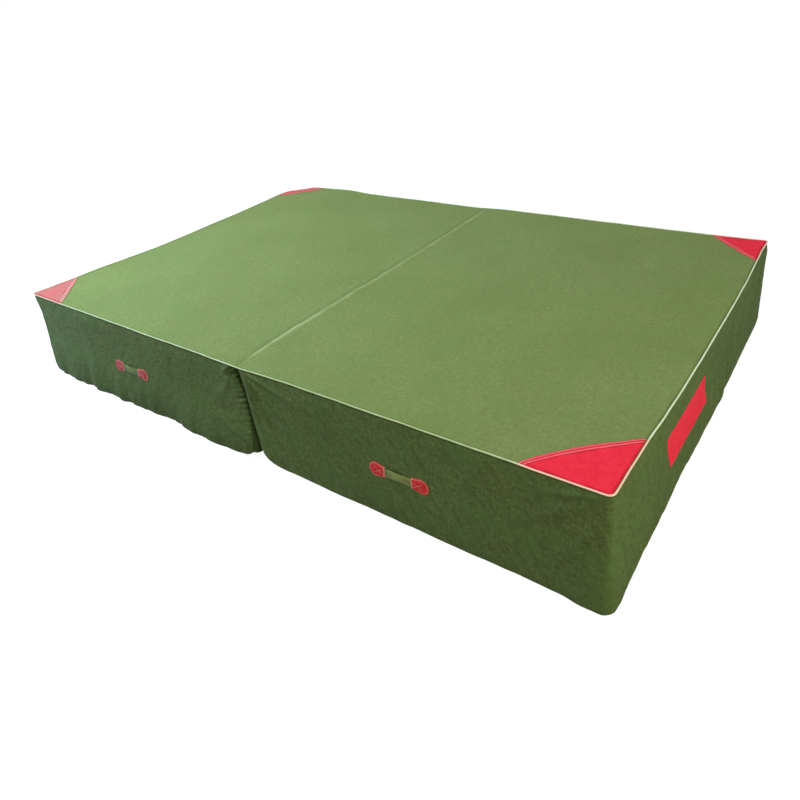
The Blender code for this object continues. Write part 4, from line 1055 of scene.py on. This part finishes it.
for end, side, x_sign, y_sign, most_bow, fading in CORNERS:
    low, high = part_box(f"corner_patch_{end}_{side}")
    leg = high.x - low.x
    corner = np.array([high.x if x_sign > 0 else low.x, low.y if y_sign < 0 else high.y])
    inwards = np.array([-x_sign, -y_sign])
    turn = np.linspace(0, pi / 2, PATCH_ROWS)[:, None]
    corner_line = CORNER_ROUND * np.concatenate([1 - np.sin(turn), 1 - np.cos(turn)], -1)
    share = np.linspace(0, 1, PATCH_ROWS)[:, None]
    bow = most_bow * 4 * share * (1 - share) / np.sqrt(2)
    wobble = 0.0012 * drift(share * leg, leg, 0.045, 51)
    long_edge = np.concatenate([(1 - share) * leg + bow + wobble, share * leg + bow + wobble], -1)
    across = np.concatenate([np.linspace(0, 0.82, 30), np.linspace(0.84, 1.0, 26)])[None, :, None]
    plan = corner_line[:, None] * (1 - across) + long_edge[:, None] * across
    place = corner + plan * inwards
    to_edge = (1 - across[..., 0]) * np.linalg.norm(long_edge - corner_line, axis=1)[:, None]
    to_short = np.minimum(plan[..., 0], plan[..., 1])
    hem = smooth(to_edge / 0.002) * smooth((HEM_WIDTH - to_edge) / 0.003)
    sewn_down = sum(bell(to_edge - seam, 0.0013) for seam in HEM_SEAMS)
    rumple = 0.0005 * (1 + drift(place[..., 0] + place[..., 1], place[..., 1], 0.040, 53))
    up = PATCH_LIFT + PATCH_CLOTH + 0.0011 * hem + rumple * smooth(to_short / 0.02) - 0.0009 * sewn_down
    edge_down = PATCH_CLOTH * (1 - smooth(to_edge / 0.0015))
    z = top_height(place[..., 0], place[..., 1]) + up - edge_down * 0.6
    points = np.concatenate([place, z[..., None]], -1)
    order = -x_sign * y_sign
    patch = surface(f"red_patch_{end}_{side}", points[::order], place[::order], RED_NYLON)
    thicken(patch, PATCH_CLOTH)
    # Painted sheen: the left block's patches are washed pale where reflected light whitens them.
    sheen = np.clip(fading * (1 + 0.24 * drift(plan[..., 0], plan[..., 1], 0.022, 54)), 0, 1)
    mark(patch, "painted_sheen", sheen[::order])
    # Painted highlights on the lit edges of the hem's folds, over a paler band where the hem is doubled.
    lit_folds = 0.50 * bell(to_edge - HEM_WIDTH + 0.0005, 0.0022) + 0.40 * bell(to_edge - 0.0065, 0.0018)
    lit_folds = np.clip((0.10 * hem + lit_folds) * (1 + 0.10 * fading), 0, 1)
    mark(patch, "hem", lit_folds[::order])
    # Painted shade in the folds beside the hem and along the short edges by the piping.
    fold_shade = 0.65 * bell(to_edge - HEM_WIDTH - 0.0040, 0.0022) + 0.45 * bell(to_edge - 0.0115, 0.0018)
    fold_shade = fold_shade + 0.55 * bell(to_short - 0.0034, 0.0026)
    fold_shade = np.clip(fold_shade * (0.85 + 0.4 * drift(plan[..., 0], plan[..., 1], 0.03, 55)), 0, 1)
    mark(patch, "grime_and_shade", fold_shade[::order])
    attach(patch, f"{side}_block")
    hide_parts(f"corner_patch_{end}_{side}")
    for number, inset in enumerate(HEM_SEAMS):
        pull = 1 - inset / np.linalg.norm(long_edge - corner_line, axis=1, keepdims=True)
        row = corner + (corner_line * (1 - pull) + long_edge * pull) * inwards
        height = top_height(row[:, 0], row[:, 1]) + PATCH_LIFT + PATCH_CLOTH + 0.0003
        line = np.concatenate([row, height[:, None]], -1)
        sewn = stitches(f"red_patch_stitches_{end}_{side}_{number}", [line], (0, 0, 1),
                        pitch=0.0075, length=0.0055, radius=0.0005, material=THREAD_PALE)
        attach(sewn, f"{side}_block")


# End patch
# A plain piece of the same red cloth, sewn flat on the right end wall, whose cloth it follows. It was cut
# as a rectangle, and the wall's cloth has pulled it to a slant.

END_SLANT = -0.42
END_MARGIN = 0.010
END_ROUND = 0.010
# A row of the wall's grid at about half its height.
MIDDLE_ROW = 40


def on_wall(side, walk_at, height_at):
    """Places on a block's wall cloth, found between the four nearest points of its grid."""
    points, flat = WALLS[side]
    walk_line = flat[0, :, 0]
    height_line = flat[:, 0, 1]
    i = np.clip(np.searchsorted(height_line, height_at) - 1, 0, len(height_line) - 2)
    j = np.clip(np.searchsorted(walk_line, walk_at) - 1, 0, len(walk_line) - 2)
    s = ((height_at - height_line[i]) / (height_line[i + 1] - height_line[i]))[..., None]
    t = ((walk_at - walk_line[j]) / (walk_line[j + 1] - walk_line[j]))[..., None]
    low = points[i, j] * (1 - t) + points[i, j + 1] * t
    high = points[i + 1, j] * (1 - t) + points[i + 1, j + 1] * t
    return low * (1 - s) + high * s


wall_points, wall_flat = WALLS["right"]
middle_row = wall_points[MIDDLE_ROW]
on_end = middle_row[:, 0] > WALL_X - 0.012
start, finish = np.interp([END_LOW.y - END_MARGIN, END_HIGH.y + 0.4 * END_MARGIN],
                          middle_row[on_end, 1], wall_flat[0, on_end, 0])
a, b = np.meshgrid(np.linspace(-1, 1, 64), np.linspace(-1, 1, 28), indexing="ij")
half_high = (END_HIGH.z - END_LOW.z + 1.8 * END_MARGIN) / 2
walk_at, height_at = rounded_plan(a, b, start, finish, half_high, END_ROUND, END_ROUND)
to_edge = np.minimum(np.minimum(walk_at - start, finish - walk_at), half_high - np.abs(height_at))
slanting = walk_at + END_SLANT * height_at
points = on_wall("right", slanting, height_at + BADGE_Z + 0.1 * END_MARGIN)
rumple = 0.0003 * drift(walk_at, height_at, 0.04, 61)
points[..., 0] += PATCH_LIFT + PATCH_CLOTH * smooth(to_edge / 0.0012) + rumple
end_patch = surface("red_end_patch", points, np.stack([walk_at, height_at], -1), RED_NYLON)
thicken(end_patch, PATCH_CLOTH)
mark(end_patch, "hem", 0.08 * smooth((0.008 - to_edge) / 0.003))
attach(end_patch, "right_block")
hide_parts("end_patch_right")


# Handles
# Each handle is a length of olive cotton webbing. Its ends are sewn to the wall under a round-ended patch
# of red cloth, and its middle stands off the wall, so that fingers go behind it.

STRAP_HALF = PATCH_LOW.x - HANDLE_X
PATCH_LENGTH = PATCH_HIGH.x - PATCH_LOW.x
PATCH_HALF = (PATCH_HIGH.z - PATCH_LOW.z) / 2
PATCH_OUT = -WALL_Y - PATCH_LOW.y
GRIP_HALF = (GRIP_HIGH.x - GRIP_LOW.x) / 2
WEB_THICK = 0.0025
WEB_HALF = 0.0175
# The strap's middle stands that far off the wall and is drawn up that far, over that much of its length.
WEB_OFF = 0.0105
WEB_UP = 0.006
WEB_BEND = 0.060
WEB_CREASE = 0.0030
RIB_PITCH = 0.0016336
# The sewn tail: how far its middle is off the wall, and its length. Then the patch over it: where its round
# end begins, how far its rim stands off, and how far in from the edge its sewing goes.
TAIL_OFF = 0.00155
TAIL = 0.050
ROUND_AT = STRAP_HALF + PATCH_LENGTH - PATCH_HALF
PATCH_RIM = 0.0016
SEWN_IN = 0.0045


def cotton_webbing(name):
    """Cotton webbing: stout ribs across, faded olive, and darker by an attribute: where hands have soiled
    it, and with painted shade on the strap's lower half and in its crease. The wave texture makes ten ribs
    over a length of pi divided by its scale."""
    material, tree, shader = new_material(name)
    cut = add(tree, "ShaderNodeUVMap", uv_map="cut").outputs["UV"]
    waves = {"Vector": cut, "Scale": pi / 10 / RIB_PITCH, "Distortion": 0.6, "Detail": 1.0}
    ribs = add(tree, "ShaderNodeTexWave", waves).outputs["Fac"]
    tone = mixed(tree, noise(tree, cut, 1 / 0.012, 3.0), "#69702c", "#98a046")
    between = {"Value": ribs, "From Max": 0.5, "To Min": 0.35, "To Max": 0.0}
    tone = mixed(tree, add(tree, "ShaderNodeMapRange", between).outputs[0], tone, "#525c30")
    # Soil and painted shade, from the attribute.
    tone = mixed(tree, marked(tree, "grime_and_shade"), tone, "#3e471a")
    coat(tree, shader, tone, ribs, 0.6, 0.0006, 0.75)
    return material


COTTON_WEBBING = cotton_webbing("cotton_webbing")
# The handle patches are of the same cloth as the corners, from a duller and more orange batch.
HANDLE_NYLON = nylon_cloth("coated_nylon_handle_patch", "#ee3938", "#d62c2c", "#f29a88")
# How soiled the strap and the patches of each block are, and how much painted sheen washes out the patches,
# from 0 to 1.
SOIL_AND_SHEEN = {"right": (0.18, 0.16, 0.10), "left": (0.42, 0.36, 0.58)}


def strap_half_grid(hand):
    """Half of a strap, from its middle to the end of its sewn tail. The section is a flat ring with
    rounded edges and a lengthwise crease, carried along a line that leaves the patch and eases out."""
    x = np.concatenate([np.linspace(0, GRIP_HALF, 12), np.linspace(GRIP_HALF, STRAP_HALF, 18)[1:],
                        np.linspace(STRAP_HALF, STRAP_HALF + TAIL, 10)[1:]])
    rise = smooth((STRAP_HALF - x) / WEB_BEND)
    off = TAIL_OFF + (WEB_OFF - TAIL_OFF) * rise
    turn = np.arctan(np.gradient(off, x))
    angle = np.linspace(0, 2 * pi, 20, endpoint=False)
    across = WEB_HALF * np.sign(np.cos(angle)) * np.abs(np.cos(angle)) ** 0.18
    thick = WEB_THICK / 2 * np.sign(np.sin(angle)) * np.abs(np.sin(angle)) ** 0.55
    cup = WEB_CREASE * np.abs(across / WEB_HALF - 0.2) * rise[:, None]
    depth = off[:, None] + thick * np.cos(turn)[:, None] - cup
    along = x[:, None] - thick * np.sin(turn)[:, None]
    points = np.stack([along * hand, -depth, (WEB_UP * rise)[:, None] + across + 0 * depth], -1)
    length = lengths_along(np.stack([x, off], -1))
    flat = np.stack(np.meshgrid(length, np.append(across, across[0]), indexing="ij"), -1)
    return points, flat


def narrowed(x, z):
    """Half-way heights on a handle patch, drawn in towards the strap's side, which makes it leaf-shaped."""
    return z * (1 - 0.26 * smooth((STRAP_HALF + 0.7 * PATCH_LENGTH - x) / (0.8 * PATCH_LENGTH)))


def patch_out(x, z):
    """How far a handle patch stands off the wall: a rim's height, and more over the strap's sewn tail."""
    beside = smooth((WEB_HALF + 0.005 - np.abs(z)) / 0.005)
    before_end = smooth((STRAP_HALF + TAIL + 0.005 - x) / 0.006)
    return PATCH_RIM + (PATCH_OUT - PATCH_RIM) * (beside * before_end)


def patch_grid(hand):
    """A handle patch: straight on the strap's side and round at the other. Rows cross it, each from the
    straight side to the round end. It is flat at its edge and rises over the strap's sewn tail."""
    swing = np.linspace(-pi / 2, pi / 2, 33)[:, None]
    share = np.linspace(0, 1, 36)[None, :]
    full = PATCH_HALF * np.sin(swing) + 0 * share
    end = ROUND_AT + PATCH_HALF * np.cos(swing)
    x = STRAP_HALF + (end - STRAP_HALF) * share
    z = narrowed(x, full)
    to_round = PATCH_HALF - np.hypot(np.maximum(x - ROUND_AT, 0), full)
    to_edge = np.minimum(to_round, x - STRAP_HALF)
    pressed = 0.0009 * (1 - smooth(to_round / 0.0018)) + 0.0003 * bell(to_edge - SEWN_IN, 0.0012)
    up = patch_out(x, z) - pressed
    hem = smooth((0.0062 - to_edge) / 0.002) * (0.10 + 0.45 * smooth((STRAP_HALF + 0.007 - x) / 0.002))
    soiled = 0.16 * smooth((to_edge - 0.007) / 0.003) * (1 + 0.8 * drift(x, z, 0.010, 71))
    return np.stack([x * hand, -up, z], -1), np.stack([x, z], -1), hem, soiled


def around_patch(hand, inset):
    """The line that the sewing follows round a patch, that far in from its edge."""
    reach = PATCH_HALF - inset
    start = STRAP_HALF + inset
    along = np.linspace(start, ROUND_AT, 16)
    swing = np.linspace(-pi / 2, pi / 2, 24)
    line = np.concatenate([
        np.stack([along, np.full_like(along, -reach)], -1),
        np.stack([ROUND_AT + reach * np.cos(swing), reach * np.sin(swing)], -1)[1:-1],
        np.stack([along[::-1], np.full_like(along, reach)], -1),
        np.stack([np.full_like(along, start), np.linspace(reach, -reach, 18)[1:-1]], -1),
        [[start, -reach]],
    ])
    line[:, 1] = narrowed(line[:, 0], line[:, 1])
    return np.stack([line[:, 0] * hand, -patch_out(line[:, 0], line[:, 1]), line[:, 1]], -1)


def across_patch(hand, slope):
    """One of the two slanting rows of sewing that hold the strap's tail, crossing in the patch's middle."""
    share = np.linspace(0, 1, 12)
    x = STRAP_HALF + 0.009 + (TAIL - 0.014) * share
    return np.stack([x * hand, np.full_like(x, -PATCH_OUT), slope * 0.012 * (2 * share - 1)], -1)


for side, sign in BLOCKS:
    for end, y_sign in SIDES:
        name = f"handle_{side}_{end}"
        turn_of = np.array([[-y_sign, 0, 0], [0, -y_sign, 0], [0, 0, 1.0]])
        base_at = np.array([HANDLE_X * sign, WALL_Y * y_sign, HANDLE_Z])
        wall_name = f"{side}_block"
        for hand_name, hand in (("right", 1), ("left", -1)):
            points, flat = strap_half_grid(hand)
            points = points @ turn_of.T + base_at
            grid = points[:, ::hand]
            strap = surface(f"{name}_webbing_{hand_name}", grid, flat, COTTON_WEBBING, close_columns=True)
            place = grid[..., 2] - base_at[2]
            # Painted shade: a dark line along the crease and the strap's lower half darker; the block's
            # soil is added.
            soiled = 0.45 * bell(place - 0.001, 0.0025) + 0.40 * smooth((-0.003 - place) / 0.006)
            mark(strap, "grime_and_shade", soiled + SOIL_AND_SHEEN[side][0])
            start = turn_of @ [STRAP_HALF * hand, 0, 0] + base_at
            finish = turn_of @ [GRIP_HALF * hand, 0, 0] + base_at
            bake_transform(strap)
            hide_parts(f"{name}_strap_{hand_name}", f"{name}_grip")
            points, flat, hem, soiled = patch_grid(hand)
            points = points @ turn_of.T + base_at
            patch = surface(f"{name}_red_{hand_name}", points[::-hand], flat[::-hand], HANDLE_NYLON)
            mark(patch, "hem", hem[::-hand])
            mark(patch, "grime_and_shade", soiled[::-hand] + SOIL_AND_SHEEN[side][1])
            # Painted sheen on the patches, more on the left block.
            mark(patch, "painted_sheen", np.full(hem.shape, SOIL_AND_SHEEN[side][2]))
            thicken(patch, PATCH_CLOTH)
            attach(patch, wall_name)
            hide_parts(f"{name}_patch_{hand_name}")
            lines = (around_patch(hand, SEWN_IN), across_patch(hand, 1), across_patch(hand, -1))
            lines = [line @ turn_of.T + base_at for line in lines]
            sewn = stitches(f"{name}_stitches_{hand_name}", lines, (0, y_sign, 0),
                            pitch=0.0050, length=0.0038, radius=0.0005, material=THREAD_PALE)
            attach(sewn, wall_name)


# Floor, light and camera
# A pale studio floor in a white surround, two large soft lamps, above the mat's left end and beyond its
# right end, and two small tinted ones beyond its near corners. The camera stands off the near right
# corner, at a standing person's eye height.


def seen(tree):
    """1 for rays that show a surface to the camera, straight, mirrored or through glass, and 0 for rays
    that only light the mat."""
    rays = add(tree, "ShaderNodeLightPath").outputs
    shown = rays["Is Camera Ray"]
    for kind in ("Is Glossy Ray", "Is Transmission Ray"):
        shown = reckoned(tree, "MAXIMUM", shown, rays[kind])
    return shown


floor_mesh = bpy.data.meshes.new("floor")
floor_mesh.from_pydata([(-30, -30, 0), (30, -30, 0), (30, 30, 0), (-30, 30, 0)], [], [(0, 1, 2, 3)])
floor = placed("floor", floor_mesh)
material, tree, _ = new_material("pale_floor")
plain = add(tree, "ShaderNodeBsdfDiffuse", {"Color": (0.50, 0.50, 0.50, 1.0)})
glow = add(tree, "ShaderNodeEmission", {"Color": (1, 1, 1, 1), "Strength": 0.90})
pale = add(tree, "ShaderNodeBsdfDiffuse", {"Color": (0.30, 0.30, 0.30, 1.0)})
white = add(tree, "ShaderNodeAddShader", {0: glow.outputs[0], 1: pale.outputs[0]})
choice = add(tree, "ShaderNodeMixShader", {0: seen(tree), 1: plain.outputs[0], 2: white.outputs[0]})
tree.links.new(choice.outputs[0], tree.nodes["Material Output"].inputs["Surface"])
floor_mesh.materials.append(material)

world = bpy.data.worlds.new("studio")
bpy.context.scene.world = world
world.use_nodes = True
tree = world.node_tree
strength = add(tree, "ShaderNodeMapRange", {"Value": seen(tree), "To Min": 0.42, "To Max": 1.0}).outputs[0]
tree.links.new(strength, tree.nodes["Background"].inputs["Strength"])
tree.nodes["Background"].inputs["Color"].default_value = (1, 1, 1, 1)


def soft_lamp(name, place, aim, size, watts, colour):
    """A square soft lamp that points at a place on the mat."""
    lamp = bpy.data.lights.new(name, "AREA")
    lamp.size = size
    lamp.energy = watts
    lamp.color = linear(colour)[:3]
    holder = placed(name, lamp)
    holder.location = place
    holder.rotation_euler = (Vector(aim) - Vector(place)).to_track_quat("-Z", "Y").to_euler()


soft_lamp("lamp_left", (-2.6, -1.6, 3.6), (-0.8, -0.2, 0.4), 2.0, 243, "#c3e4ff")
soft_lamp("lamp_right", (5.2, -1.7, 1.6), (1.5, -0.4, 0.2), 2.0, 91, "#dcfcd4")
soft_lamp("lamp_sky", (-2.2, -1.8, 0.5), (-1.4, -1.0, 0.3), 0.8, 11, "#8cb0ff")
soft_lamp("lamp_warm", (2.6, -2.0, 1.9), (1.3, -0.8, 0.4), 0.8, 8.5, "#ffb478")

CAMERA_AT = (1.999, -2.475, 1.788)
CAMERA_TURN = radians(38.68)
CAMERA_TILT = radians(23.55)
CAMERA_ROLL = radians(-6.14)
back = Vector((sin(CAMERA_TURN), -cos(CAMERA_TURN), 0)) * cos(CAMERA_TILT)
back.z = sin(CAMERA_TILT)
level = back.cross(Vector((0, 0, -1))).normalized()
upright = back.cross(level)
right = level * cos(CAMERA_ROLL) + upright * sin(CAMERA_ROLL)
upward = upright * cos(CAMERA_ROLL) - level * sin(CAMERA_ROLL)
lens = bpy.data.cameras.new("camera")
lens.lens = 31.79
lens.sensor_width = 36.0
lens.shift_x = 0.0135
lens.shift_y = -0.1554
camera = placed("camera", lens)
facing = Matrix((right, upward, back)).transposed().to_4x4()
camera.matrix_world = Matrix.Translation(CAMERA_AT) @ facing
bpy.context.scene.camera = camera
bpy.context.scene.view_settings.view_transform = "Standard"
